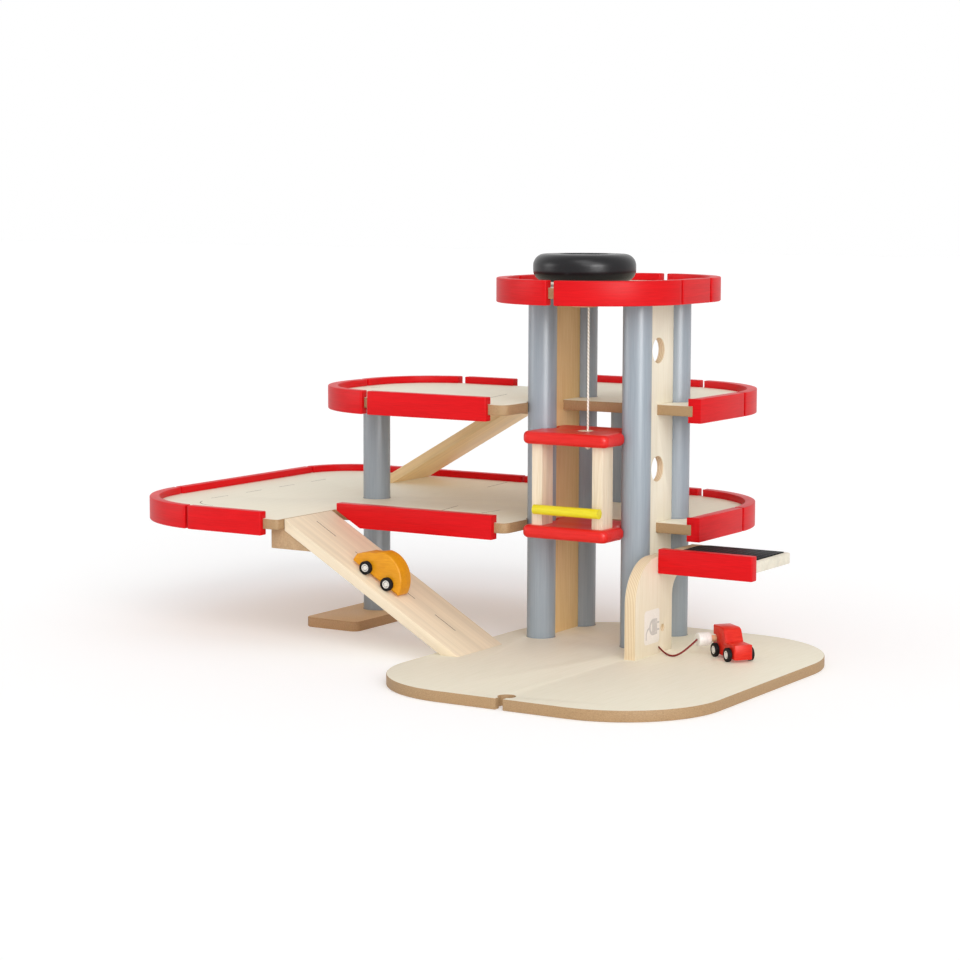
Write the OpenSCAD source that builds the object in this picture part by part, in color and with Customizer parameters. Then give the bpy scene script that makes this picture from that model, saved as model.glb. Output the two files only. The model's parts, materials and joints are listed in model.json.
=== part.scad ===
// Wooden toy parking garage: three storeys round a lift shaft, two ramps, a hand-wound lift,
// a charging bay with a roof of solar cells and two small cars.
// Millimetres, +Z up. The origin is the centre of the base board's underside, on the floor.
// +X runs to the right along the front edge of the base board and +Y runs to the back.

/* [Boards] */
// Thickness of every base and deck board
board_t = 9; // [6:0.5:12]
// Width of the base board
base_w = 292; // [260:1:340]
// Depth of the base board
base_d = 365; // [340:1:420]
// Radius of the base board's front corners
base_r = 88; // [40:1:110]
// Radius of the base board's back corners
base_back_r = 102; // [40:1:120]
// Neck width of the keyhole in the front edge
key_neck = 6.5; // [4:0.5:9]
// Bore of the keyhole, which takes the round tab of a road piece
key_bore_d = 14; // [10:0.5:18]
// Depth of the keyhole's centre behind the front edge
key_in = 12; // [9:0.5:20]
// Width of the foot board under the deck pillar
foot_w = 58; // [40:1:80]
// Depth of the foot board
foot_d = 152; // [100:1:180]
// Corner radius of the foot board
foot_r = 8; // [2:1:15]

/* [Storeys] */
// Clear height of the ground storey
ground_clear = 95.4; // [90:0.1:110]
// Clear height of each upper storey
storey_clear = 93.4; // [90:0.1:110]

/* [Pillars and panels] */
// Pillar diameter
pillar_d = 25; // [20:0.5:28]
// Spacing of the shaft pillars from left to right
shaft_w = 93.3; // [88:0.1:100]
// Spacing of the shaft pillars from front to back
shaft_d = 72.3; // [70:0.1:80]
// Left shaft pillars, measured from the left edge of the base board
shaft_in_x = 34.6; // [25:0.1:50]
// Front shaft pillars, measured from the front edge of the base board
shaft_in_y = 253.8; // [245:0.1:262]
// Deck pillar, to the left of the front left shaft pillar
deck_pillar_left = 205; // [190:1:215]
// Deck pillar, behind the front left shaft pillar
deck_pillar_back = 45.3; // [30:0.1:60]
// Rear pillar, behind the front left shaft pillar
rear_pillar_back = 150; // [130:1:170]
// Thickness of the plywood shaft panels
panel_t = 6; // [4:0.5:8]
// Depth of a panel's edge in the pillar's groove
panel_in = 4; // [2:0.5:6]
// Depth of the blind sockets that hold the pillar ends
socket = 3; // [2:0.5:4]
// Diameter of the round windows in the right panel
window_d = 22; // [12:1:26]
// Distance of the window centre behind the front pillar
window_back = 33; // [30:1:38]

/* [Decks] */
// Front edge of the decks behind the shaft, measured from the front pillars
deck_front = 32; // [30:1:36]
// Back edge of the rims, measured from the front pillars
deck_back = 231; // [215:1:240]
// Right edge of the rims, measured from the left pillars
deck_right = 138; // [132:1:145]
// Radius of the right rear corner of the rims
corner_right_r = 115; // [80:1:120]
// Edge of both decks beside the lift, to the left of the left pillars
deck_bay_left = 8; // [8:0.5:11]
// Radius of the bare corner beside the lift
bay_corner_r = 8; // [3:1:12]
// Left edge of the lower deck's rims
lower_left = 383; // [370:1:400]
// Front edge of the rims on the lower deck's left wing
wing_front = 139; // [132:1:142]
// Front edge of the rims on the lower deck's middle part
lower_front = 52; // [48:1:53]
// Edge where the lower ramp meets the lower deck
ramp_edge_lower = 188; // [184:1:196]
// Radius of the wing's front corner
wing_front_r = 108; // [80:1:112]
// Radius of the lower deck's left rear corner
lower_back_r = 60; // [40:1:70]
// Left edge of the upper deck's rims
upper_left = 234.5; // [230:0.5:245]
// Front edge of the upper deck's rims
upper_front = 54; // [48:1:56]
// Back edge of the upper deck's left wing
upper_wing_back = 147; // [140:1:149]
// Radius of the upper deck's left front corner
upper_front_r = 92; // [60:1:98]
// Radius of the upper deck's left rear corner
upper_back_r = 75; // [50:1:90]
// Edge where the upper ramp meets the upper deck
ramp_edge_upper = 98; // [90:1:110]

/* [Roof] */
// Outer radius of the roof's rounded ends
roof_r = 86; // [80:1:92]
// Centre of the front rounding, behind the front pillars
roof_front_c = 11; // [5:1:20]
// Centre of the back rounding, behind the front pillars
roof_back_c = 58; // [50:1:66]

/* [Rims] */
// Thickness of the red rims
rim_t = 9; // [7:0.5:11]
// Height of the rim above the deck
rim_up = 6.5; // [4:0.5:9]
// Height of the rim below the deck
rim_down = 5.5; // [3:0.5:9]
// Depth of a deck's edge in the rim's groove
groove_in = 4; // [2:0.5:5]
// Gap between two neighbouring rims
rim_gap = 3; // [1:0.5:4]
// Wide gap at the middle of the roof's front and back
roof_gap = 7; // [4:0.5:12]
// Wide gap in the upper deck's back rims
lobe_gap = 7; // [3:0.5:10]
// Bare length of the wing's front edge beside the ramp
bare_wing = 15; // [8:1:20]
// Bare length of a deck's front edge beside the lift
bare_bay = 17; // [9:1:20]

/* [Ramps] */
// Slope of both ramps in degrees
ramp_angle = 30.1; // [28:0.1:32]
// Width of the lower ramp
ramp_low_w = 72; // [60:1:74]
// Gap between the lower ramp and the rim behind it
ramp_low_gap = 1; // [0.5:0.5:4]
// Width of the upper ramp
ramp_high_w = 66; // [50:1:72]
// Gap between the upper ramp and the rim before it
ramp_high_gap = 2; // [1:0.5:4]
// Gap between a ramp's top end and the deck
ramp_end_gap = 0.8; // [0.3:0.1:1]
// Height of the blocks that carry the ramps
block_h = 18; // [12:1:22]
// Length of a block under its deck
block_under = 14.5; // [8:0.5:20]
// Distance of a block's ends from the ramp's sides
block_inset = 1.5; // [0:0.5:6]

/* [Lift] */
// Thickness of the lift's two plates
lift_t = 11; // [9:0.5:12]
// Width of the lift's plates
lift_w = 83; // [76:0.5:84]
// Front edge of the plates, before the front pillars
lift_front = 45; // [42:0.5:50]
// Gap between the plates' back edge and the decks
lift_back_gap = 3; // [1:0.5:5]
// Gap between the plates and the pillars they run along
lift_gap = 0.8; // [0.5:0.1:1.5]
// Radius of the plates' corners
lift_corner_r = 6.5; // [5.5:0.5:8]
// Height of the posts between the plates
post_h = 70; // [60:0.5:71]
// Width of a post
post_w = 10; // [7:0.5:12]
// Depth of a post
post_d = 18.5; // [12:0.5:22]
// Distance of a post from the plate's side
post_in = 7; // [3:0.5:8]
// Distance of a post from the plate's front
post_back = 7.5; // [6:0.5:10]
// Depth of a post's ends in the plates
post_tenon = 3; // [2:0.5:5]
// Diameter of the yellow barrier bar
bar_d = 8.5; // [6:0.5:9]
// Length of the barrier bar
bar_l = 64; // [55:0.5:67]
// Height of the barrier's axis over the lift's floor
bar_up = 14; // [8:0.5:18]
// Distance of the barrier's pivot from the left end of the bar
bar_pivot_in = 3; // [2.6:0.1:4]
// Start of the bar, to the right of the left post's side
bar_start = 5; // [2:0.1:5.2]
// Diameter of the barrier's pivot pin
bar_pin_d = 2.4; // [1.6:0.1:2.6]
// Depth of the pivot pin in the post
bar_pin_in = 10; // [5:0.5:14]
// Gap between the bar and the posts
bar_gap = 0.4; // [0.3:0.1:0.8]
// Diameter of the pale disc in the lift's top
disc_d = 14; // [10:0.5:18]
// Thickness of the pale disc
disc_t = 3; // [2:0.5:5]
// Distance of the cord from the middle of the disc
disc_off = 2; // [0:0.5:4]

/* [Winding knob] */
// Diameter of the tyre-shaped knob
tyre_d = 88; // [70:1:92]
// Height of the tyre
tyre_h = 23.5; // [16:0.5:28]
// Radius of the tyre's rounded shoulders
tyre_r = 10; // [6:0.5:11]
// Gap between the tyre and the roof board
tyre_up = 3.8; // [3:0.1:6]
// Knob axis, before the front pillars
knob_front = 9.5; // [5:0.1:14]
// Diameter of the dish in the tyre's top
dish_d = 44; // [30:1:50]
// Depth of the dish
dish_in = 3; // [1:0.5:5]
// Diameter of the pale cap in the dish
cap_d = 20; // [12:1:26]
// Height of the cap over the dish
cap_up = 2; // [1:0.5:3]
// Diameter of the recess under the tyre
well_d = 26; // [20:1:32]
// Depth of the recess under the tyre
well_in = 8; // [6:0.5:10]
// Diameter of the spindle
spindle_d = 6; // [4:0.5:7]
// Diameter of the spindle's head
head_d = 8.6; // [8:0.1:9]
// Height of the spindle's head
head_h = 2; // [1:0.5:3]
// Outer diameter of the winding drum
drum_d = 10.2; // [9.6:0.1:12]
// Gap between the drum and the roof board
drum_up = 0.3; // [0.1:0.1:1]
// Diameter of the boss under the roof
boss_d = 21.5; // [20:0.5:26]
// Height of the boss
boss_h = 9; // [6:0.5:11]
// Diameter of the lift's cord
cord_d = 1.8; // [1:0.1:2]
// Bend radius of the cord where it turns down
cord_bend = 3.4; // [3:0.1:4]
// Bore of the cord's hole in the roof and the boss
cord_bore = 3.2; // [2.6:0.1:3.4]
// Number of turns on the drum
cord_turn_count = 3; // [1:1:3]
// Diameter of the knot below the lift's top plate
knot_d = 5; // [4:0.5:7]

/* [Charging bay] */
// Thickness of the upright charger board
charger_t = 10; // [8:0.5:12]
// Outer face of the charger board, measured from the left pillars
charger_x = 125; // [122:1:130]
// Front edge of the charger board, before the front pillars
charger_front = 58; // [50:1:64]
// Width of the charger board's leg
charger_leg = 66; // [50:1:72]
// Depth of the charger board's arm behind the front pillars
charger_back = 65; // [55:1:70]
// Height of the charger board over the base board
charger_h = 83; // [76:1:86]
// Height of the arm
charger_arm = 18; // [14:1:24]
// Radius of the board's front shoulder
charger_r = 37; // [25:1:45]
// Radius of the fillet below the arm
charger_fillet = 18; // [8:1:24]
// Depth of the canopy, measured from the fascia to the back edge
canopy_d = 84; // [70:1:90]
// Length of the canopy board from the charger board to the right
canopy_l = 85; // [70:1:90]
// Length of the red fascia
fascia_l = 88; // [70:1:92]
// Thickness of the solar cell sheet
solar_t = 1; // [0.6:0.1:2]
// Bare margin round the solar cell sheet
solar_margin = 5; // [2:0.5:8]
// Bare margin of the solar cell sheet at the charger board
solar_left = 2; // [1:0.5:5]
// Depth of the canopy's tenon in the charger board
tenon_in = 5; // [3:0.5:6]
// Height of the canopy's tenon
tenon_h = 5; // [3:0.5:6]
// Diameter of the plug's parking hole
park_d = 6.4; // [5:0.1:8]
// Height of the parking hole over the base board
park_up = 21; // [15:1:30]
// Parking hole, before the front pillars
park_front = 9; // [4:1:20]
// Height of the cord's exit over the base board
exit_up = 5; // [4:0.5:9]
// Cord's exit, before the front pillars
exit_front = 15.3; // [10:0.1:20]
// Diameter of the charging cord
ev_cord_d = 1.6; // [1.2:0.1:2]
// Diameter of the white plug
plug_d = 11.5; // [8:0.5:13]
// Length of the white plug
plug_l = 11.5; // [8:0.5:14]
// Diameter of the plug's wooden pin
pin_d = 5.6; // [4:0.1:6]
// Bare length of the plug's pin between plug and car
pin_out = 5; // [4:0.5:8]
// Length of the plug's pin in the car
pin_in = 5; // [3:0.5:6]

/* [Cars] */
// Distance between a car's axles
wheelbase = 25; // [24:0.5:30]
// Wheel diameter
wheel_d = 11.8; // [9:0.2:13]
// Wheel width
wheel_w = 3.2; // [3:0.1:5]
// Body width of both cars
car_w = 16.6; // [14:0.2:20]
// Height of a body's underside over the road
car_under = 2.5; // [2:0.1:3]
// Axle diameter
axle_d = 4; // [3:0.1:4.4]
// Hub diameter
hub_d = 6.8; // [5:0.2:8]
// Gap between a wheel and the body
wheel_gap = 0.4; // [0.4:0.1:1]
// Length of the yellow car before its axle centre
yellow_nose = 28.4; // [24:0.5:32]
// Length of the yellow car behind its axle centre
yellow_tail = 25.7; // [24:0.1:32]
// Height of the yellow car's roof over the road
yellow_h = 27.5; // [26:0.5:30]
// Radius of the yellow car's round back
yellow_r = 24.5; // [23:0.5:25]
// Length of the red car before its axle centre
red_nose = 21.5; // [20:0.5:28]
// Length of the red car behind its axle centre
red_tail = 21; // [20:0.5:28]
// Length of the red car's cab before its axle centre
red_cab = 4.5; // [2:0.5:8]
// Height of the red car's bonnet over the road
red_bonnet = 15; // [12:0.5:18]
// Height of the red car's roof over the road
red_roof = 26.2; // [22:0.2:30]

/* [Fits] */
// Gap round glued and pressed joints
fit = 0.1; // [0.05:0.01:0.2]
// Radial gap of a running shaft in its bore
run = 0.08; // [0.03:0.01:0.1]
// Gap between a wheel and the road
road_gap = 0.1; // [0.05:0.05:0.3]
// Gap round the front left pillar in the decks
pillar_gap = 0.8; // [0.5:0.1:2]

/* [Hidden] */
$fn = 96;
// Overrun of every cutting solid past the face it cuts
over = 1;

// Heights of the boards' upper and lower faces
base_top = board_t;
d1_low = base_top + ground_clear;
d1_top = d1_low + board_t;
d2_low = d1_top + storey_clear;
d2_top = d2_low + board_t;
roof_low = d2_top + storey_clear;
roof_top = roof_low + board_t;

// The front left shaft pillar's axis, from which the tower and its decks are laid out
tower_x = -base_w / 2 + shaft_in_x;
tower_y = -base_d / 2 + shaft_in_y;
pillar_r = pillar_d / 2;
shaft_mid = shaft_w / 2;
edge_in = rim_t - groove_in;

// Ramps: both slope at the same angle between two board tops
ramp_fall = tan(ramp_angle);
ramp_low_x = -ramp_edge_lower + ramp_end_gap;
ramp_low_y0 = -lower_front - ramp_low_gap - ramp_low_w;
ramp_high_x = -ramp_edge_upper - ramp_end_gap;
ramp_high_y0 = upper_wing_back + ramp_high_gap;

// Lift: its floor stands level with the lower deck
lift_floor_z = d1_top - lift_t;
lift_top_z = d1_top + post_h;
lift_back = deck_front - lift_back_gap;
lift_x0 = shaft_mid - lift_w / 2;
post_y0 = -lift_front + post_back;
bar_x0 = lift_x0 + post_in + bar_start;
bar_y = post_y0 - bar_gap - bar_d / 2;
bar_z = d1_top + bar_up;

// Winding gear: knob, drum and cord share one vertical axis
knob_x = shaft_mid;
knob_y = -knob_front;
tyre_z = roof_top + tyre_up;
boss_z = roof_low - boss_h;
wind_r = drum_d / 2 + cord_d / 2;
cord_x = knob_x + wind_r + 3 * fit;
cord_y = knob_y - cord_bend;
lead_z = roof_top + drum_up + cord_d;

// Charging bay
canopy_top = base_top + charger_h;
canopy_low = canopy_top - board_t;
fascia_y = charger_back - canopy_d;

// Cars: the road is a plane, the car's own axes are forward +X and up +Z
wheel_r = wheel_d / 2;
axle_z = wheel_r + road_gap;
track_in = car_w / 2 + wheel_gap;
track_out = track_in + wheel_w;
hub_sink = wheel_w / 8;
// Place of the yellow car's axle centre along the slope from the lower ramp's top edge
yellow_along = 99.1;
// Distance of the yellow car's middle from the lower ramp's front side
yellow_in = 22.4;
// Place and heading of the red car's axle centre
red_x = 189.3;
red_y = -5;
red_turn = -38.6;
port_back = 17;
port_up = 14.8;
soft_r = 1.5;
// Yellow car's windscreen and bonnet line, from the roof down to the nose: shares of its nose length and height
yellow_front_shares = [[0.146, 1.022], [0.468, 0.76], [0.694, 0.633], [0.979, 0.364], [1, 0.18], [1.1, 0.18], [1.1, 1.1]];
// Height of the yellow car's bonnet block, a share of its roof height
yellow_bonnet_share = 0.77;

// Route of the charging cord from the charger board to the plug, as points on its centre line
cord_lie = base_top + ev_cord_d / 2;
plug_axis_z = base_top + port_up;
plug_dir = red_turn - 90;
port_px = red_x - port_back * cos(red_turn) + car_w / 2 * cos(plug_dir);
port_py = red_y - port_back * sin(red_turn) + car_w / 2 * sin(plug_dir);
plug_x = port_px + pin_out * cos(plug_dir);
plug_y = port_py + pin_out * sin(plug_dir);
plug_end_x = plug_x + plug_l * cos(plug_dir);
plug_end_y = plug_y + plug_l * sin(plug_dir);
exit_z = base_top + exit_up;
ev_steps = 26;
ev_sides = 8;
ev_lead = 9;
ev_tail = 12;
ev_p0 = [charger_x - charger_t / 2, -exit_front, exit_z];
ev_p1 = [charger_x, -exit_front, exit_z];
ev_p2 = [charger_x + ev_lead, -exit_front - ev_lead / 4, exit_z - ev_lead / 6];
ev_p3 = [charger_x + 2 * ev_lead, -exit_front - ev_lead / 2, cord_lie];
ev_p7 = [plug_end_x, plug_end_y, plug_axis_z];
ev_p6 = [plug_end_x + cos(plug_dir), plug_end_y + sin(plug_dir), plug_axis_z];
ev_p5 = [plug_end_x + ev_tail * cos(plug_dir) / 2, plug_end_y + ev_tail * sin(plug_dir) / 2,
    plug_axis_z - ev_tail / 6];
ev_p4 = [plug_end_x + ev_tail * cos(plug_dir), plug_end_y + ev_tail * sin(plug_dir), cord_lie];

mdf = [0.89, 0.86, 0.79];
ply = [0.87, 0.77, 0.62];
beech = [0.9, 0.8, 0.7];
grey = [0.58, 0.61, 0.66];
red = [0.85, 0.1, 0.13];
yellow = [0.92, 0.86, 0.15];
amber = [0.88, 0.6, 0.14];
black = [0.08, 0.08, 0.08];
cream = [0.93, 0.9, 0.82];
wine = [0.45, 0.05, 0.05];

module at_tower() translate([tower_x, tower_y, 0]) children();

module box(x0, y0, z0, x1, y1, z1) translate([x0, y0, z0]) cube([x1 - x0, y1 - y0, z1 - z0]);

module rod(x, y, z0, z1, d) translate([x, y, z0]) cylinder(h = z1 - z0, d = d);

// Takes a round corner of radius r out of a rectangle, at the corner x, y that opens to sx, sy
module corner_off(x, y, r, sx, sy) {
    if (r > 0) difference() {
        translate([min(x - sx * over, x + sx * r), min(y - sy * over, y + sy * r)])
            square([r + over, r + over]);
        translate([x + sx * r, y + sy * r]) circle(r = r);
    }
}

// A rectangle whose four corners have their own radii: front left, front right, back right, back left
module plan_rect(x0, y0, x1, y1, fl, fr, br, bl) {
    difference() {
        translate([x0, y0]) square([x1 - x0, y1 - y0]);
        corner_off(x0, y0, fl, 1, 1);
        corner_off(x1, y0, fr, -1, 1);
        corner_off(x1, y1, br, -1, -1);
        corner_off(x0, y1, bl, 1, -1);
    }
}

module plate(z0, t) translate([0, 0, z0]) linear_extrude(height = t) children();

// Outlines of the decks and the roof. The value i is the inset from the rims' outer faces.
module right_part(x0, i) {
    plan_rect(x0, deck_front, deck_right - i, deck_back - i, 0, i == 0 ? 0 : rim_gap,
        corner_right_r - i, 0);
}

module outline_1(i) {
    plan_rect(-lower_left + i, -wing_front + i, -ramp_edge_lower, deck_back - i,
        wing_front_r - i, rim_gap, 0, lower_back_r - i);
    plan_rect(-ramp_edge_lower - over, -lower_front + i, -deck_bay_left, deck_back - i,
        0, bay_corner_r, 0, 0);
    right_part(-deck_bay_left - over, i);
}

module outline_2(i) {
    plan_rect(-upper_left + i, -upper_front + i, -deck_bay_left, upper_wing_back - i,
        upper_front_r - i, bay_corner_r, 0, upper_back_r - i);
    right_part(-ramp_edge_upper, i);
}

module outline_roof(i) {
    for (c = [roof_front_c, roof_back_c]) translate([shaft_mid, c]) circle(r = roof_r - i);
    translate([shaft_mid - roof_r + i, roof_front_c])
        square([2 * (roof_r - i), roof_back_c - roof_front_c]);
}

module outline(level, i) {
    if (level == 1) outline_1(i);
    if (level == 2) outline_2(i);
    if (level == 3) outline_roof(i);
}

// The part of a level's rim that lies in a box. Its inner face is grooved for the board.
module rim(level, x0, y0, x1, y1) {
    top = level == 1 ? d1_top : level == 2 ? d2_top : roof_top;
    difference() {
        translate([0, 0, top - board_t - rim_down]) linear_extrude(height = rim_up + board_t + rim_down)
            intersection() {
                difference() {
                    outline(level, 0);
                    outline(level, rim_t);
                }
                translate([x0, y0]) square([x1 - x0, y1 - y0]);
            }
        translate([0, 0, top - board_t - fit]) linear_extrude(height = board_t + 2 * fit)
            outline(level, edge_in - fit);
    }
}

module pillar(x, y, z0, z1) rod(x, y, z0 - socket, z1 + socket, pillar_d);

module pillar_socket(x, y, z, s) {
    if (s > 0) rod(x, y, z, z + socket + fit, pillar_d + 2 * fit);
    else rod(x, y, z - socket - fit, z, pillar_d + 2 * fit);
}

// Groove in a shaft pillar for the edge of its panel, at the side s of the pillar
module panel_groove(x, y, s) {
    y0 = s > 0 ? y + pillar_r - panel_in - fit : y - pillar_r - over;
    box(x - panel_t / 2 - fit, y0, base_top, x + panel_t / 2 + fit, y0 + panel_in + fit + over, roof_low);
}

module shaft_panel(x) {
    difference() {
        box(x - panel_t / 2, pillar_r - panel_in, base_top, x + panel_t / 2,
            shaft_d - pillar_r + panel_in, roof_low);
        for (z = [d1_low, d2_low])
            box(x - panel_t, deck_front - fit, z - fit, x + panel_t, shaft_d, z + board_t + fit);
    }
}

module deck_holes(low, top) {
    for (x = [0, shaft_w]) rod(x, shaft_d, low - over, top + over, pillar_d + 2 * fit);
    rod(0, 0, low - over, top + over, pillar_d + 2 * pillar_gap);
}

// A ramp's side outline: x1 is its top end, z0 and z1 are the boards it joins, s its direction
module ramp_outline(x1, z0, z1, s) {
    run_x = (z1 - z0) / ramp_fall;
    foot_x = board_t / sin(ramp_angle);
    end_h = board_t / cos(ramp_angle);
    polygon([[x1, z1], [x1 + s * run_x, z0], [x1 + s * (run_x - foot_x), z0], [x1, z1 - end_h]]);
}

module ramp(x1, y0, w, z0, z1, s) {
    translate([0, y0 + w, 0]) rotate([90, 0, 0]) linear_extrude(height = w) ramp_outline(x1, z0, z1, s);
}

// The block under a deck's edge whose slanted face carries the ramp's underside
module ramp_block(x1, edge, y0, w, z1, s) {
    low = z1 - board_t;
    end_h = board_t / cos(ramp_angle);
    drop = z1 - end_h - fit;
    x_low = x1 + s * (drop - low + block_h) / ramp_fall;
    translate([0, y0 + w - block_inset, 0]) rotate([90, 0, 0])
        linear_extrude(height = w - 2 * block_inset)
            polygon([[edge - s * block_under, low], [edge, low], [x1, drop], [x_low, low - block_h],
                [edge - s * block_under, low - block_h]]);
}

// One of the lift's plates, notched round the two front pillars it runs along
module lift_plate(z) {
    difference() {
        plate(z, lift_t) plan_rect(lift_x0, -lift_front, lift_x0 + lift_w, lift_back, lift_corner_r,
            lift_corner_r, lift_corner_r, lift_corner_r);
        for (x = [0, shaft_w]) rod(x, 0, z - over, z + lift_t + over, pillar_d + 2 * lift_gap);
    }
}

module lift_post(s) {
    x0 = s < 0 ? lift_x0 + post_in : lift_x0 + lift_w - post_in - post_w;
    box(x0, post_y0, d1_top - post_tenon, x0 + post_w, post_y0 + post_d, lift_top_z + post_tenon);
}

module post_mortise(s) {
    x0 = s < 0 ? lift_x0 + post_in : lift_x0 + lift_w - post_in - post_w;
    box(x0 - fit, post_y0 - fit, d1_top - post_tenon - fit, x0 + post_w + fit, post_y0 + post_d + fit,
        lift_top_z + post_tenon + fit);
}

// Cars
module car_place_yellow() {
    at_tower() translate([ramp_low_x, ramp_low_y0 + yellow_in, d1_top]) rotate([0, ramp_angle, 0])
        translate([yellow_along, 0, 0]) rotate([0, 0, 180]) children();
}

module car_place_red() {
    at_tower() translate([red_x, red_y, base_top]) rotate([0, 0, red_turn]) children();
}

module axle_bores() {
    for (x = [-wheelbase / 2, wheelbase / 2]) translate([x, car_w, axle_z]) rotate([90, 0, 0])
        cylinder(h = 2 * car_w, d = axle_d + 2 * run);
}

module tyres(x) {
    for (s = [-1, 1]) translate([x, s * track_in, axle_z]) rotate([-90 * s, 0, 0]) difference() {
        union() {
            cylinder(h = wheel_w, r = wheel_r - hub_sink);
            translate([0, 0, hub_sink]) cylinder(h = wheel_w - 2 * hub_sink, r = wheel_r);
            for (z = [hub_sink, wheel_w - hub_sink]) translate([0, 0, z])
                rotate_extrude() translate([wheel_r - hub_sink, 0]) circle(r = hub_sink);
        }
        translate([0, 0, -over]) cylinder(h = wheel_w + 2 * over, d = axle_d + 2 * fit);
        translate([0, 0, wheel_w - hub_sink]) cylinder(h = hub_sink + over, d = hub_d + 2 * fit);
    }
}

module axle(x) {
    translate([x, -track_out, axle_z]) rotate([-90, 0, 0]) union() {
        cylinder(h = 2 * track_out, d = axle_d);
        for (z = [0, 2 * track_out - hub_sink]) translate([0, 0, z]) cylinder(h = hub_sink, d = hub_d);
    }
}

module side_profile(w) translate([0, w / 2, 0]) rotate([90, 0, 0]) linear_extrude(height = w) children();

module yellow_shell() {
    difference() {
        union() {
            side_profile(car_w) translate([yellow_r - yellow_tail, yellow_h - yellow_r]) circle(r = yellow_r);
            box(yellow_r - yellow_tail, -car_w / 2, 0, yellow_nose, car_w / 2, yellow_h * yellow_bonnet_share);
        }
        box(-2 * yellow_tail, -car_w, -2 * yellow_r, 2 * yellow_tail, car_w, car_under);
        side_profile(2 * car_w) polygon([for (p = yellow_front_shares) [p[0] * yellow_nose, p[1] * yellow_h]]);
    }
}

module red_profile() {
    polygon([[-red_tail, car_under], [red_nose, car_under], [red_nose, red_bonnet], [red_cab, red_bonnet],
        [0, red_roof - soft_r], [-wheel_r / 2, red_roof], [-red_tail, red_roof]]);
}

// Slot for the plug's pin in the car's side, open to the rear so that the car can drive away
module port_slot(d, l) {
    translate([-port_back, -car_w / 2 - over, port_up]) rotate([-90, 0, 0]) cylinder(h = l + over, d = d);
    box(-red_tail - over, -car_w / 2 - over, port_up - d / 2, -port_back, l - car_w / 2, port_up + d / 2);
}

// Charging cord: one tube swept along points on a smooth curve
function lerp(a, b, t) = a + (b - a) * t;
function bezier(a, b, c, d, t) = lerp(lerp(lerp(a, b, t), lerp(b, c, t), t), lerp(lerp(b, c, t), lerp(c, d, t), t), t);
function ev_path() = concat([ev_p0],
    [for (i = [0 : ev_steps / 2]) bezier(ev_p1, ev_p2, ev_p3, lerp(ev_p3, ev_p4, 1 / 2), 2 * i / ev_steps)],
    [for (i = [1 : ev_steps / 2]) bezier(lerp(ev_p3, ev_p4, 1 / 2), ev_p4, ev_p5, ev_p6, 2 * i / ev_steps)], [ev_p7]);
function unit(v) = v / norm(v);
function path_dir(p, i) = unit(i == 0 ? p[1] - p[0] : i == len(p) - 1 ? p[i] - p[i - 1] : p[i + 1] - p[i - 1]);
function ring(c, d, r, n) = let (u = unit(cross(d, [0, 0, 1])), v = cross(u, d))
    [for (k = [0 : n - 1]) c + r * (cos(360 * k / n) * u + sin(360 * k / n) * v)];
module tube(p, r, n) {
    rings = [for (i = [0 : len(p) - 1]) ring(p[i], path_dir(p, i), r, n)];
    verts = [for (g = rings) for (v = g) v];
    last = len(p) - 1;
    polyhedron(verts, concat([[for (k = [0 : n - 1]) k]],
        [for (i = [0 : last - 1]) for (k = [0 : n - 1]) [i * n + k, (i + 1) * n + k, (i + 1) * n + (k + 1) % n, i * n + (k + 1) % n]],
        [[for (k = [n - 1 : -1 : 0]) last * n + k]]), convexity = 8);
}

// Boards
module base_board() color(mdf) difference() {
    plate(0, board_t) difference() {
        plan_rect(-base_w / 2, -base_d / 2, base_w / 2, base_d / 2, base_r, base_r, base_back_r, base_back_r);
        translate([0, key_in - base_d / 2]) circle(d = key_bore_d);
        translate([-key_neck / 2, -base_d / 2 - over]) square([key_neck, key_in + over]);
    }
    at_tower() {
        for (x = [0, shaft_w]) for (y = [0, shaft_d]) pillar_socket(x, y, base_top, -1);
        box(charger_x - 3 * charger_t / 4 - fit, charger_leg / 4 - charger_front - fit, base_top - socket - fit,
            charger_x - charger_t / 4 + fit, 3 * charger_leg / 4 - charger_front + fit, base_top + over);
    }
}

module foot_board() color(mdf) at_tower() difference() {
    plate(0, board_t) plan_rect(-deck_pillar_left - foot_w / 2, deck_pillar_back - foot_d / 2,
        -deck_pillar_left + foot_w / 2, deck_pillar_back + foot_d / 2, foot_r, foot_r, foot_r, foot_r);
    pillar_socket(-deck_pillar_left, deck_pillar_back, base_top, -1);
}

module deck_1() color(mdf) at_tower() difference() {
    plate(d1_low, board_t) outline_1(edge_in);
    deck_holes(d1_low, d1_top);
    pillar_socket(-deck_pillar_left, deck_pillar_back, d1_low, 1);
    pillar_socket(-deck_pillar_left, deck_pillar_back, d1_top, -1);
    pillar_socket(0, rear_pillar_back, d1_top, -1);
}

module deck_2() color(mdf) at_tower() difference() {
    plate(d2_low, board_t) outline_2(edge_in);
    deck_holes(d2_low, d2_top);
    pillar_socket(-deck_pillar_left, deck_pillar_back, d2_low, 1);
    pillar_socket(0, rear_pillar_back, d2_low, 1);
}

module roof_board() color(mdf) at_tower() difference() {
    plate(roof_low, board_t) outline_roof(edge_in);
    for (x = [0, shaft_w]) for (y = [0, shaft_d]) pillar_socket(x, y, roof_low, 1);
    rod(knob_x, knob_y, roof_low - over, roof_top + over, spindle_d + 2 * run);
    rod(cord_x, cord_y, roof_low - over, roof_top + over, cord_bore);
}

// Pillars and panels
module pillar_front_left() color(grey) at_tower() difference() {
    pillar(0, 0, base_top, roof_low);
    panel_groove(0, 0, 1);
}

module pillar_front_right() color(grey) at_tower() difference() {
    pillar(shaft_w, 0, base_top, roof_low);
    panel_groove(shaft_w, 0, 1);
}

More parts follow.
